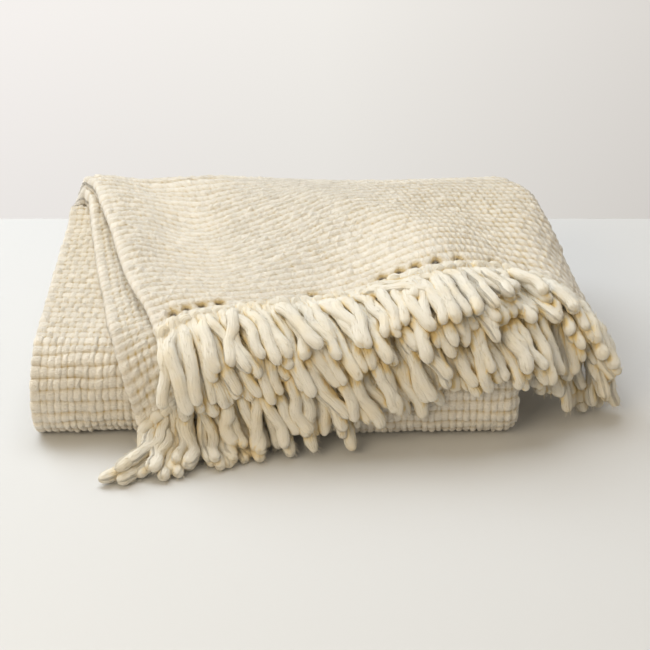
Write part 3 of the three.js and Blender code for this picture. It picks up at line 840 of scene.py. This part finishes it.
# Waves of a leg's girth: share and number, and how far the number may differ
GIRTH_WAVES = (
    (0.04, 1.0),
    (0.035, 2.6),
)
GIRTH_WAVES_SPREAD = 0.4
# A tip that meets the floor turns this way along it
FLOOR_DRIFT = np.array([0.1, -0.25])
# Lean of the legs along the end: share from selvedge to fold, mm for the upper row, mm for the lower row
LEAN = (
    (0, -6, -86),
    (0.03, 0, -58),
    (0.07, 6, -26),
    (0.12, 12, -6),
    (0.35, 16, 12),
    (0.5, 10, 10),
    (0.7, 12, 8),
    (1, 10, 8),
)
# Length of the front and of the back rank of legs, as shares of a lock: upper row, then lower row
LENGTHS = (
    (0, 0.8, 0.86, 1.0, 1.06),
    (0.1, 0.72, 0.98, 0.9, 0.92),
    (0.2, 0.7, 1.0, 0.8, 0.82),
    (0.3, 0.74, 1.0, 0.9, 0.94),
    (0.4, 0.74, 1.02, 1.0, 1.06),
    (0.5, 0.8, 1.08, 1.02, 1.12),
    (0.6, 0.85, 1.05, 0.94, 1.04),
    (0.7, 0.8, 0.96, 1.0, 1.06),
    (0.85, 0.76, 0.88, 0.92, 1.0),
    (1, 0.72, 0.8, 0.76, 0.82),
)
# How far the two ranks of legs lie above the cloth's middle and how wide they turn down, upper then lower
# row
RANKS = (
    (12, 7, 58, 30),
    (-3, -7, 44, 16),
)
# A third rank of single legs fills the gaps behind the others: how far it lies, and its share of the back
# rank
FILL_RAISED = -9.0
FILL_LENGTH = 0.92
FILL_LEAN_SPREAD = 6.0
FILL_LENGTH_SPREAD = 0.06
# Locks that have fallen across the others near the ridge: row, share across, lean, share that falls, raised
STRAYS = (
    (1, 0.475, 78, 0.14, 13),
    (1, 0.455, 84, 0.4, 12),
    (1, 0.53, 40, 0.55, 12),
    (1, 0.58, -26, 0.6, 13),
    (1, 0.64, 60, 0.4, 10),
    (1, 0.035, 2, 0.95, 5),
    (1, 0.065, 6, 0.95, 4),
    (1, 0.095, 12, 0.95, 5),
    (1, 0.11, 40, 0.72, 14),
    (1, 0.17, -30, 0.75, 16),
    (-1, 0.05, -24, 0.9, 3),
    (-1, 0.085, -10, 0.95, 2),
    (-1, 0.12, -2, 0.95, 3),
    (-1, 0.16, 4, 0.95, 2),
    (-1, 0.34, 36, 0.85, 12),
    (-1, 0.54, 42, 0.8, 13),
)
STRAY_LENGTH = 0.85
STRAY_LENGTH_SPREAD = 0.1
# Girth of a leg from its root to its tip, and the shares of a leg at which its line has a point
GIRTH = (
    (0, 0.9),
    (0.12, 0.92),
    (0.3, 1.0),
    (0.6, 0.98),
    (0.82, 1.02),
    (0.92, 1.0),
    (0.955, 0.87),
    (0.98, 0.66),
    (0.993, 0.42),
    (1, 0.16),
)
LEG_SHARES = np.concatenate([np.linspace(0, 0.92, 24), [0.945, 0.965, 0.98, 0.99, 0.996, 1.0]])


def lay_on_floor(line, radius):
    """The line with what would sink into the floor laid along it, at its own length."""
    laid = [line[0]]
    for step, least in zip(np.diff(line, axis=0), radius[1:]):
        point = laid[-1] + step
        if point[2] < least:
            drop = laid[-1][2] - least
            run = math.sqrt(max(step @ step - drop * drop, 0.0))
            flat = step[:2] + FLOOR_DRIFT
            point = np.append(laid[-1][:2] + flat / np.linalg.norm(flat) * run, least)
        laid.append(point)
    return np.array(laid)


def leg_line(across, layer, lift, turn_radius, length, lean, falls, sways, hang_down):
    """Centre line of one leg of a lock, from its root over the cloth or down past the pack's right end."""
    turn = layer * np.pi / 2
    share = LEG_SHARES
    root = end_station(across, layer) + ROOT_INSET
    past = length * share
    leant = lean * share ** LEAN_POWER
    drift = leant
    rise = np.zeros_like(share)
    for amount, waves, phase, upright in sways:
        wave = amount * (np.sin(2 * np.pi * (waves * share + phase)) - math.sin(2 * math.pi * phase))
        wave = wave * ease(share, 0, SWAY_GROWS)
        drift = drift + wave * (1 - upright)
        rise = rise + wave * upright
    reach = HALF_PITCH + layer * (mix(ROOT_RAISED, lift, ease(past, 0, LIFT_RUN)) + rise)
    line = place(across + drift / SPAN, turn, reach, root + past * falls)
    hang = float(ease(across, *HANG_FROM[int(layer)]))
    if hang > 0:
        held = np.minimum(past, max(float(end_station(across, -1.0) - end_station(across, layer)), 0))
        start = place(across + (drift - leant) / SPAN, turn, reach, root + held)
        heading = start - place(across + (drift - leant) / SPAN, turn, reach, root + held - 1)
        heading /= np.linalg.norm(heading, axis=1, keepdims=True)
        free = past - held
        angle = np.minimum(free / turn_radius, HANG_LIMIT)
        straight = free - turn_radius * angle
        outward = turn_radius * np.sin(angle) + straight * np.cos(angle)
        downward = turn_radius * (1 - np.cos(angle)) + straight * np.sin(angle)
        line = mix(line, start + heading * outward[:, None] + hang_down * downward[:, None], hang)
    return line


def share_that_falls(lean, length):
    """How far down a leaning leg reaches, as a share of its length."""
    return math.sqrt(max(1 - (lean / length) ** 2, LEAST_FALL))


def fringe_lines(layer, seed):
    """Points, edges and girths of the centre lines of a row of locks: the lower row at -1, the upper at 1."""
    luck = np.random.default_rng(seed)
    column = 1 if layer > 0 else 2
    points, edges, girths = [], [], []

    def leg(across, rank, lean, falls, lift, length):
        """Line and girth of one leg, with its own sways."""
        down = np.array(HANG_DOWN[int(layer)]) + np.array(HANG_SPREAD) * luck.normal(size=3)
        sways = [(wide * luck.random() + least, slow + more * luck.random(), luck.random(), upright)
                 for wide, least, slow, more, upright in SWAYS]
        turn_radius = rank[column + 1] * (1 + TURN_SPREAD * luck.normal())
        down = down / np.linalg.norm(down)
        line = leg_line(across, layer, lift, turn_radius, length, lean, falls, sways, down)
        girth = along(GIRTH, 1, LEG_SHARES)
        girth = girth * (1 + GIRTH_SPREAD * np.clip(luck.normal(), -GIRTH_LIMIT, GIRTH_LIMIT))
        for amount, waves in GIRTH_WAVES:
            waves = waves * (1 + GIRTH_WAVES_SPREAD * luck.random())
            girth = girth * (1 + amount * np.sin(2 * np.pi * (waves * LEG_SHARES + luck.random())))
        return lay_on_floor(line, LOCK_RADIUS * girth), girth

    def add(line, girth):
        """Puts a line with the others of the row."""
        start = sum(len(chunk) for chunk in points)
        edges.append(np.stack([np.arange(len(line) - 1), np.arange(1, len(line))], axis=-1) + start)
        points.append(line)
        girths.append(girth)

    for i in range(LOCKS):
        middle = (i + 0.5 + PLACE_SPREAD * luck.normal()) / LOCKS
        half = LEG_SPACING / 2 / LOCKS * (1 + SPACING_SPREAD * luck.normal())
        front_first = luck.random() < 0.5
        legs = []
        for side in (-1, 1):
            order = 0 if (side < 0) == front_first else 1
            across = np.clip(middle + side * half, *LEGS_WITHIN)
            lean = float(along(LEAN, column, across)) + LEAN_SPREAD * luck.normal() + LEGS_PART * side
            lift = RANKS[order][column - 1] + LIFT_SPREAD * luck.normal()
            share = float(along(LENGTHS, 2 * column - 1 + order, across))
            share = share * (1 + LENGTH_SPREAD * np.clip(luck.normal(), -LENGTH_LIMIT, LENGTH_LIMIT))
            length = LOCK_LENGTH * share
            falls = share_that_falls(lean, length)
            legs.append((across, *leg(across, RANKS[order], lean, falls, lift, length)))
        (left, first, first_girth), (right, second, second_girth) = legs
        swing = np.linspace(0, np.pi, HEAD_POINTS + 2)[1:-1]
        over = mix(left, right, (1 - np.cos(swing)) / 2)
        raised = HEAD_RAISED + HEAD_RAISED_SPREAD * luck.normal()
        reach = HALF_PITCH + layer * mix(ROOT_RAISED, raised, np.sin(swing))
        back = HEAD_BACK * (1 + HEAD_BACK_SPREAD * luck.normal()) * np.sin(swing)
        head = place(over, layer * np.pi / 2, reach, end_station(over, layer) + ROOT_INSET - back)
        bar = np.full(len(head), (first_girth[0] + second_girth[0]) / 2)
        add(np.concatenate([first[::-1], head, second]),
            np.concatenate([first_girth[::-1], bar, second_girth]))
        across = (i + 1) / (LOCKS + 1)
        lean = float(along(LEAN, column, across)) + FILL_LEAN_SPREAD * luck.normal()
        length = LOCK_LENGTH * FILL_LENGTH * float(along(LENGTHS, 2 * column, across))
        length = length * (1 + FILL_LENGTH_SPREAD * luck.normal())
        add(*leg(across, RANKS[1], lean, share_that_falls(lean, length), FILL_RAISED, length))
    for row, across, lean, falls, lift in STRAYS:
        if row == layer:
            length = LOCK_LENGTH * (STRAY_LENGTH + STRAY_LENGTH_SPREAD * luck.random())
            add(*leg(across, RANKS[0], lean, falls, lift, length))
    return np.concatenate(points) * MM, np.concatenate(edges), np.concatenate(girths)


# Sweeps a round of roving along each lock's line, gives it soft lumps and strews loose hairs over it
LOCK_SIDES = 14
LUMP_HEIGHT = 1.1
LUMP_SIZE = 15.0
LUMP_SEED = 3.0
# The noise that makes the lumps keeps within about a quarter of its middle
NOISE_MIDDLE = 0.5
NOISE_STRETCH = 4.0
HAIRS_A_SQUARE_METRE = 21000.0
HAIR_SEED = 5
HAIR_SIDES = 3
HAIR_RADIUS = 0.32
HAIR_LENGTH = 9.0
HAIR_STAND = 0.3
HAIR_SPREAD = 0.5
ROVING_INPUTS = (
    ("Geometry", "NodeSocketGeometry", None),
    ("Lock radius", "NodeSocketFloat", LOCK_RADIUS * MM),
    ("Sides", "NodeSocketInt", LOCK_SIDES),
    ("Lump height", "NodeSocketFloat", LUMP_HEIGHT * MM),
    ("Lump size", "NodeSocketFloat", LUMP_SIZE * MM),
    ("Seed", "NodeSocketFloat", LUMP_SEED),
    ("Hairs a square metre", "NodeSocketFloat", HAIRS_A_SQUARE_METRE),
    ("Hair seed", "NodeSocketInt", HAIR_SEED),
    ("Hair radius", "NodeSocketFloat", HAIR_RADIUS * MM),
    ("Hair length", "NodeSocketFloat", HAIR_LENGTH * MM),
    ("Hair stand", "NodeSocketFloat", HAIR_STAND),
    ("Hair spread", "NodeSocketFloat", HAIR_SPREAD),
    ("Roving", "NodeSocketMaterial", None),
)
roving_tree = bpy.data.node_groups.new("roving_locks", "GeometryNodeTree")
sizes = {}
for label, kind, value in ROVING_INPUTS:
    socket = roving_tree.interface.new_socket(label, in_out="INPUT", socket_type=kind)
    sizes[label] = (socket.identifier, value)
roving_tree.interface.new_socket("Geometry", in_out="OUTPUT", socket_type="NodeSocketGeometry")
given = node(roving_tree, "NodeGroupInput").outputs
line = node(roving_tree, "GeometryNodeMeshToCurve", {"Mesh": given["Geometry"]})
girth = node(roving_tree, "GeometryNodeInputNamedAttribute", {"Name": "girth"}, data_type="FLOAT")
thick = node(roving_tree, "ShaderNodeMath", {
    0: girth.outputs["Attribute"], 1: given["Lock radius"]}, operation="MULTIPLY")
sized = node(roving_tree, "GeometryNodeSetCurveRadius", {
    "Curve": line.outputs["Curve"], "Radius": thick.outputs[0]})
tangent = node(roving_tree, "GeometryNodeInputTangent")
place_on = node(roving_tree, "GeometryNodeSplineParameter")
headed = node(roving_tree, "GeometryNodeStoreNamedAttribute", {
    "Geometry": sized.outputs["Curve"], "Name": "heading", "Value": tangent.outputs[0]},
    data_type="FLOAT_VECTOR", domain="POINT")
lined = node(roving_tree, "GeometryNodeStoreNamedAttribute", {
    "Geometry": headed.outputs["Geometry"], "Name": "along", "Value": place_on.outputs["Length"]},
    data_type="FLOAT", domain="POINT")
ring = node(roving_tree, "GeometryNodeCurvePrimitiveCircle", {"Resolution": given["Sides"], "Radius": 1.0})
ringed = node(roving_tree, "GeometryNodeStoreNamedAttribute", {
    "Geometry": ring.outputs["Curve"], "Name": "round", "Value": place_on.outputs["Factor"]},
    data_type="FLOAT", domain="POINT")
wide = node(roving_tree, "GeometryNodeInputRadius")
swept = node(roving_tree, "GeometryNodeCurveToMesh", {
    "Curve": lined.outputs["Geometry"], "Profile Curve": ringed.outputs["Geometry"], "Scale": wide.outputs[0],
    "Fill Caps": True})
spot = node(roving_tree, "GeometryNodeInputPosition")
fine = node(roving_tree, "ShaderNodeMath", {0: 1.0, 1: given["Lump size"]}, operation="DIVIDE")
lumps = node(roving_tree, "ShaderNodeTexNoise", {
    "Vector": spot.outputs[0], "W": given["Seed"], "Scale": fine.outputs[0], "Detail": 2.0},
    noise_dimensions="4D")
swell = node(roving_tree, "ShaderNodeMath", {0: lumps.outputs["Fac"], 1: NOISE_MIDDLE}, operation="SUBTRACT")
height = node(roving_tree, "ShaderNodeMath", {
    0: swell.outputs[0], 1: given["Lump height"]}, operation="MULTIPLY")
stretched = node(roving_tree, "ShaderNodeMath", {
    0: height.outputs[0], 1: NOISE_STRETCH}, operation="MULTIPLY")
outward = node(roving_tree, "GeometryNodeInputNormal")
push = node(roving_tree, "ShaderNodeVectorMath", {
    0: outward.outputs[0], "Scale": stretched.outputs[0]}, operation="SCALE")
lumpy = node(roving_tree, "GeometryNodeSetPosition", {
    "Geometry": swept.outputs["Mesh"], "Offset": push.outputs[0]})
strewn = node(roving_tree, "GeometryNodeDistributePointsOnFaces", {
    "Mesh": lumpy.outputs["Geometry"], "Density": given["Hairs a square metre"], "Seed": given["Hair seed"]})
heading = node(roving_tree, "GeometryNodeInputNamedAttribute", {"Name": "heading"}, data_type="FLOAT_VECTOR")
stand = node(roving_tree, "ShaderNodeVectorMath", {
    0: strewn.outputs["Normal"], "Scale": given["Hair stand"]}, operation="SCALE")
stray = node(roving_tree, "FunctionNodeRandomValue", {
    0: (-1.0, -1.0, -1.0), 1: (1.0, 1.0, 1.0), "Seed": given["Hair seed"]}, data_type="FLOAT_VECTOR")
spread = node(roving_tree, "ShaderNodeVectorMath", {
    0: stray.outputs[0], "Scale": given["Hair spread"]}, operation="SCALE")
raised = node(roving_tree, "ShaderNodeVectorMath", {
    0: heading.outputs["Attribute"], 1: stand.outputs[0]}, operation="ADD")
loose = node(roving_tree, "ShaderNodeVectorMath", {
    0: raised.outputs[0], 1: spread.outputs[0]}, operation="ADD")
aimed = node(roving_tree, "FunctionNodeAlignRotationToVector", {"Vector": loose.outputs[0]}, axis="Z")
hair = node(roving_tree, "GeometryNodeMeshCone", {
    "Vertices": HAIR_SIDES, "Radius Top": 0.0, "Radius Bottom": given["Hair radius"],
    "Depth": given["Hair length"]})
hairs = node(roving_tree, "GeometryNodeInstanceOnPoints", {
    "Points": strewn.outputs["Points"], "Instance": hair.outputs["Mesh"], "Rotation": aimed.outputs[0]})
furred = node(roving_tree, "GeometryNodeJoinGeometry", {"Geometry": lumpy.outputs["Geometry"]})
roving_tree.links.new(hairs.outputs["Instances"], furred.inputs["Geometry"])
smooth = node(roving_tree, "GeometryNodeSetShadeSmooth", {"Geometry": furred.outputs["Geometry"]})
real = node(roving_tree, "GeometryNodeRealizeInstances", {"Geometry": smooth.outputs["Geometry"]})
coloured = node(roving_tree, "GeometryNodeSetMaterial", {
    "Geometry": real.outputs["Geometry"], "Material": given["Roving"]})
node(roving_tree, "NodeGroupOutput", {"Geometry": coloured.outputs["Geometry"]})

# Loosely spun wool roving: thick and smooth, brighter than the cloth, with long fine fibres along each
# lock. Light passes through its loose wool, so its faces are lit as if turned a little upwards and to the
# front, which softens the shade on a lock's flanks. Painted shade makes its colour a warmer gold between the
# locks, where they lie thick, and fainter near the floor.
ROVING_COLOUR = "#e3dfd4"
ROVING_PAINTED_SHADE = "#e6cf98"
ROVING_FIBRE_MM = 2.2
ROVING_STREAK_MM = 25.0
ROVING_CLOUD_MM = 30.0
ROVING_RELIEF_MM = 2.0
ROVING_SOFTENS = (0.0, -0.15, 0.45)
roving = bpy.data.materials.new("ivory_wool_roving")
roving.use_nodes = True
tree = roving.node_tree
shader = tree.nodes["Principled BSDF"]
lengthwise = node(tree, "ShaderNodeAttribute", attribute_name="along")
roundabout = node(tree, "ShaderNodeAttribute", attribute_name="round")
spot = node(tree, "ShaderNodeTexCoord")
streak_space = node(tree, "ShaderNodeCombineXYZ", {
    "X": roundabout.outputs["Fac"], "Y": lengthwise.outputs["Fac"], "Z": 0.0})
streak_scale = node(tree, "ShaderNodeMapping", {
    "Vector": streak_space.outputs[0],
    "Scale": (2 * math.pi * LOCK_RADIUS / ROVING_FIBRE_MM, 1 / (ROVING_STREAK_MM * MM), 1.0)})
streaks = node(tree, "ShaderNodeTexNoise", {
    "Vector": streak_scale.outputs[0], "Scale": 1.0, "Detail": 3.0, "Roughness": 0.55})
clouds = node(tree, "ShaderNodeTexNoise", {
    "Vector": spot.outputs["Object"], "Scale": 1 / (ROVING_CLOUD_MM * MM), "Detail": 2.0})
blend = node(tree, "ShaderNodeMapRange", {
    "Value": clouds.outputs["Fac"], "From Min": 0.35, "From Max": 0.75, "To Min": -0.1, "To Max": 0.25})
# The depth attribute is painted shade: gold where the locks lie thick
painted_shade_depth = node(tree, "ShaderNodeAttribute", attribute_name="painted_shade_depth")
painted_shade_and_tone = node(tree, "ShaderNodeMath", {
    0: painted_shade_depth.outputs["Fac"], 1: blend.outputs[0]}, operation="ADD", use_clamp=True)
colour = node(tree, "ShaderNodeMix", {
    0: painted_shade_and_tone.outputs[0], 6: linear(ROVING_COLOUR), 7: linear(ROVING_PAINTED_SHADE)}, data_type="RGBA")
flank = node(tree, "ShaderNodeNewGeometry")
softer = node(tree, "ShaderNodeVectorMath", {
    0: flank.outputs["Normal"], 1: ROVING_SOFTENS}, operation="ADD")
soft = node(tree, "ShaderNodeVectorMath", {0: softer.outputs[0]}, operation="NORMALIZE")
relief = node(tree, "ShaderNodeBump", {
    "Height": streaks.outputs["Fac"], "Strength": 1.0, "Distance": ROVING_RELIEF_MM * MM,
    "Normal": soft.outputs[0]})
tree.links.new(colour.outputs[2], shader.inputs["Base Color"])
tree.links.new(relief.outputs["Normal"], shader.inputs["Normal"])
shader.inputs["Roughness"].default_value = 0.9
shader.inputs["Specular IOR Level"].default_value = 0.08
shader.inputs["Sheen Weight"].default_value = 0.35
shader.inputs["Sheen Roughness"].default_value = 0.4

LOWER_SEED = 21
UPPER_SEED = 22
fringe_rows = {"lower": fringe_lines(-1.0, LOWER_SEED), "upper": fringe_lines(1.0, UPPER_SEED)}

# How thick the locks lie, in a grid of cells over the fringe, which sets the painted shade in the wool's
# colour:
# how far before a face it is looked up, the thickness where the painted shade starts and is full, and the
# heights over which it fades towards the floor, as if lit from there, and the share of it left at the floor
CELL = 5 * MM
GRID_MARGIN = 8
NESTLE_REACH = 8 * MM
NESTLE = (0.03, 0.21)
FLOOR_LIT = (5 * MM, 50 * MM)
FLOOR_SHADE = 0.35
lock_points = np.concatenate([row[0] for row in fringe_rows.values()])
grid_low = lock_points.min(axis=0) - GRID_MARGIN * CELL
thickness = np.zeros(((lock_points.max(axis=0) - grid_low) / CELL + GRID_MARGIN + 1).astype(int))
np.add.at(thickness, tuple(((lock_points - grid_low) / CELL).astype(int).T), 1.0)
for axis in (0, 1, 2, 0, 1, 2):
    thickness = (np.roll(thickness, 1, axis) + 2 * thickness + np.roll(thickness, -1, axis)) / 4


def fringe_piece(name, line_points, line_edges, line_girths):
    """A row of locks as one plain mesh at the origin."""
    lines = bpy.data.meshes.new(name + "_lines")
    lines.from_pydata(line_points.tolist(), line_edges.tolist(), [])
    lines.attributes.new("girth", "FLOAT", "POINT").data.foreach_set("value", line_girths.astype(np.float32))
    source = bpy.data.objects.new(name + "_lines", lines)
    bpy.context.scene.collection.objects.link(source)
    modifier = source.modifiers.new("roving", "NODES")
    modifier.node_group = roving_tree
    for label, (identifier, value) in sizes.items():
        if value is not None:
            modifier[identifier] = value
    modifier[sizes["Roving"][0]] = roving
    graph = bpy.context.evaluated_depsgraph_get()
    mesh = bpy.data.meshes.new_from_object(source.evaluated_get(graph))
    bpy.data.objects.remove(source)
    spots = np.empty((len(mesh.vertices), 3), np.float32)
    facing = np.empty_like(spots)
    mesh.vertices.foreach_get("co", spots.ravel())
    mesh.vertex_normals.foreach_get("vector", facing.ravel())
    before = (spots + NESTLE_REACH * facing - grid_low) / CELL
    cells = np.clip(before, 0, np.array(thickness.shape) - 1).astype(int)
    # Painted shade where the locks lie thick, less of it near the floor
    painted_nestle_shade = ease(thickness[tuple(cells.T)], *NESTLE)
    painted_nestle_shade = painted_nestle_shade * mix(FLOOR_SHADE, 1.0, ease(spots[:, 2], *FLOOR_LIT))
    mesh.attributes.new("painted_shade_depth", "FLOAT", "POINT").data.foreach_set("value", painted_nestle_shade.astype(np.float32))
    spots[:, 2] = np.maximum(spots[:, 2], 0.0)
    mesh.vertices.foreach_set("co", spots.ravel())
    piece = bpy.data.objects.new(name, mesh)
    bpy.context.scene.collection.objects.link(piece)
    return piece


for name, row in fringe_rows.items():
    fringe = fringe_piece("roving_" + name, *row)
    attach(fringe, "root")
    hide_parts("fringe_" + name)

# The stage: a plain pale top that ends behind the throw, with a pale grey room beyond it. Sizes are metres.
TOP_COLOUR = "#cfd0d1"
FLOOR_BACK = 0.541
FLOOR_FRONT = -4.0
FLOOR_SIDE = 4.0
floor_points = np.array([[-FLOOR_SIDE, FLOOR_FRONT, 0], [FLOOR_SIDE, FLOOR_FRONT, 0],
                         [FLOOR_SIDE, FLOOR_BACK, 0], [-FLOOR_SIDE, FLOOR_BACK, 0]])
floor = mesh_piece("pale_top", floor_points, np.array([[0, 1, 2, 3]]), {})
# Pale matt paint, even and without gloss
pale = bpy.data.materials.new("pale_matt_paint")
pale.use_nodes = True
shader = pale.node_tree.nodes["Principled BSDF"]
shader.inputs["Base Color"].default_value = linear(TOP_COLOUR)
shader.inputs["Roughness"].default_value = 0.6
floor.data.materials.append(pale)
# The room is a pale wall with painted light on it: brighter to the left and upwards, as if lit from the upper
# left, and dimmer and warmer overhead. Heights are the height of the direction looked in
ROOM_PAINTED_LIGHT_COLOURS = ("#eae6e3", "#e5e2dd", "#d2cec9")
ROOM_SIDE = 0.18
ROOM_LOW = -0.39
ROOM_HIGH = -0.285
ROOM_PAINTED_LIGHT_LIFT = 1.12
OVERHEAD_COLOUR = "#fff2de"
OVERHEAD = 0.45
OVERHEAD_FROM = (-0.12, 0.1)
room = bpy.data.worlds.new("pale_room")
room.use_nodes = True
tree = room.node_tree
looking = node(tree, "ShaderNodeTexCoord")
parts = node(tree, "ShaderNodeSeparateXYZ", {0: looking.outputs["Generated"]})
sideways = node(tree, "ShaderNodeMapRange", {
    "Value": parts.outputs["X"], "From Min": -ROOM_SIDE, "From Max": ROOM_SIDE})
shades = node(tree, "ShaderNodeValToRGB", {0: sideways.outputs[0]})
shades.color_ramp.elements.new(0.5)
for element, colour in zip(shades.color_ramp.elements, ROOM_PAINTED_LIGHT_COLOURS):
    element.color = linear(colour)
lift = node(tree, "ShaderNodeMapRange", {
    "Value": parts.outputs["Z"], "From Min": ROOM_LOW, "From Max": ROOM_HIGH,
    "To Min": 1.0, "To Max": ROOM_PAINTED_LIGHT_LIFT})
above = node(tree, "ShaderNodeMapRange", {
    "Value": parts.outputs["Z"], "From Min": OVERHEAD_FROM[0], "From Max": OVERHEAD_FROM[1]})
glow = node(tree, "ShaderNodeMix", {
    0: above.outputs[0], 6: shades.outputs[0], 7: linear(OVERHEAD_COLOUR)}, data_type="RGBA")
strength = node(tree, "ShaderNodeMix", {0: above.outputs[0], 2: lift.outputs[0], 3: OVERHEAD})
tree.links.new(glow.outputs[2], tree.nodes["Background"].inputs["Color"])
tree.links.new(strength.outputs[0], tree.nodes["Background"].inputs["Strength"])
bpy.context.scene.world = room

# The light: broad soft sources from the upper left, a little behind the throw, from above, and weakly
# from before it. Name, width, height, power, colour and place
LAMPS = (
    ("soft_window", 2.4, 2.0, 75.0, "#ecf6ff", (-2.2, 1.7, 2.5)),
    ("soft_ceiling", 2.4, 2.0, 62.0, "#f8fcff", (-0.4, 0.8, 3.3)),
    ("soft_fill", 2.2, 1.6, 46.0, "#ffecca", (-1.9, -2.5, 2.0)),
)
for name, width, tall, power, colour, spot in LAMPS:
    lamp = bpy.data.lights.new(name, "AREA")
    lamp.shape = "RECTANGLE"
    lamp.size = width
    lamp.size_y = tall
    lamp.energy = power
    lamp.color = linear(colour)[:3]
    source = bpy.data.objects.new(name, lamp)
    source.location = spot
    aim = -np.array(spot)
    tilt = math.acos(-aim[2] / np.linalg.norm(aim))
    source.rotation_euler = (tilt, 0.0, math.atan2(aim[1], aim[0]) - math.pi / 2)
    bpy.context.scene.collection.objects.link(source)

# The camera: in front of the throw, looking down on it at the photograph's angle.
VIEW_WIDTH = math.radians(20.36)
VIEW_DOWN = math.radians(26.5)
VIEW_BEFORE = -2.080
VIEW_HEIGHT = 1.178
camera = bpy.data.cameras.new("front_view")
camera.angle = VIEW_WIDTH
viewer = bpy.data.objects.new("front_view", camera)
viewer.location = (FRAME_SHIFT_X * MM, VIEW_BEFORE + FRAME_SHIFT_Y * MM, VIEW_HEIGHT)
viewer.rotation_euler = (math.pi / 2 - VIEW_DOWN, 0.0, 0.0)
bpy.context.scene.collection.objects.link(viewer)
bpy.context.scene.camera = viewer
bpy.context.scene.view_settings.view_transform = "Standard"
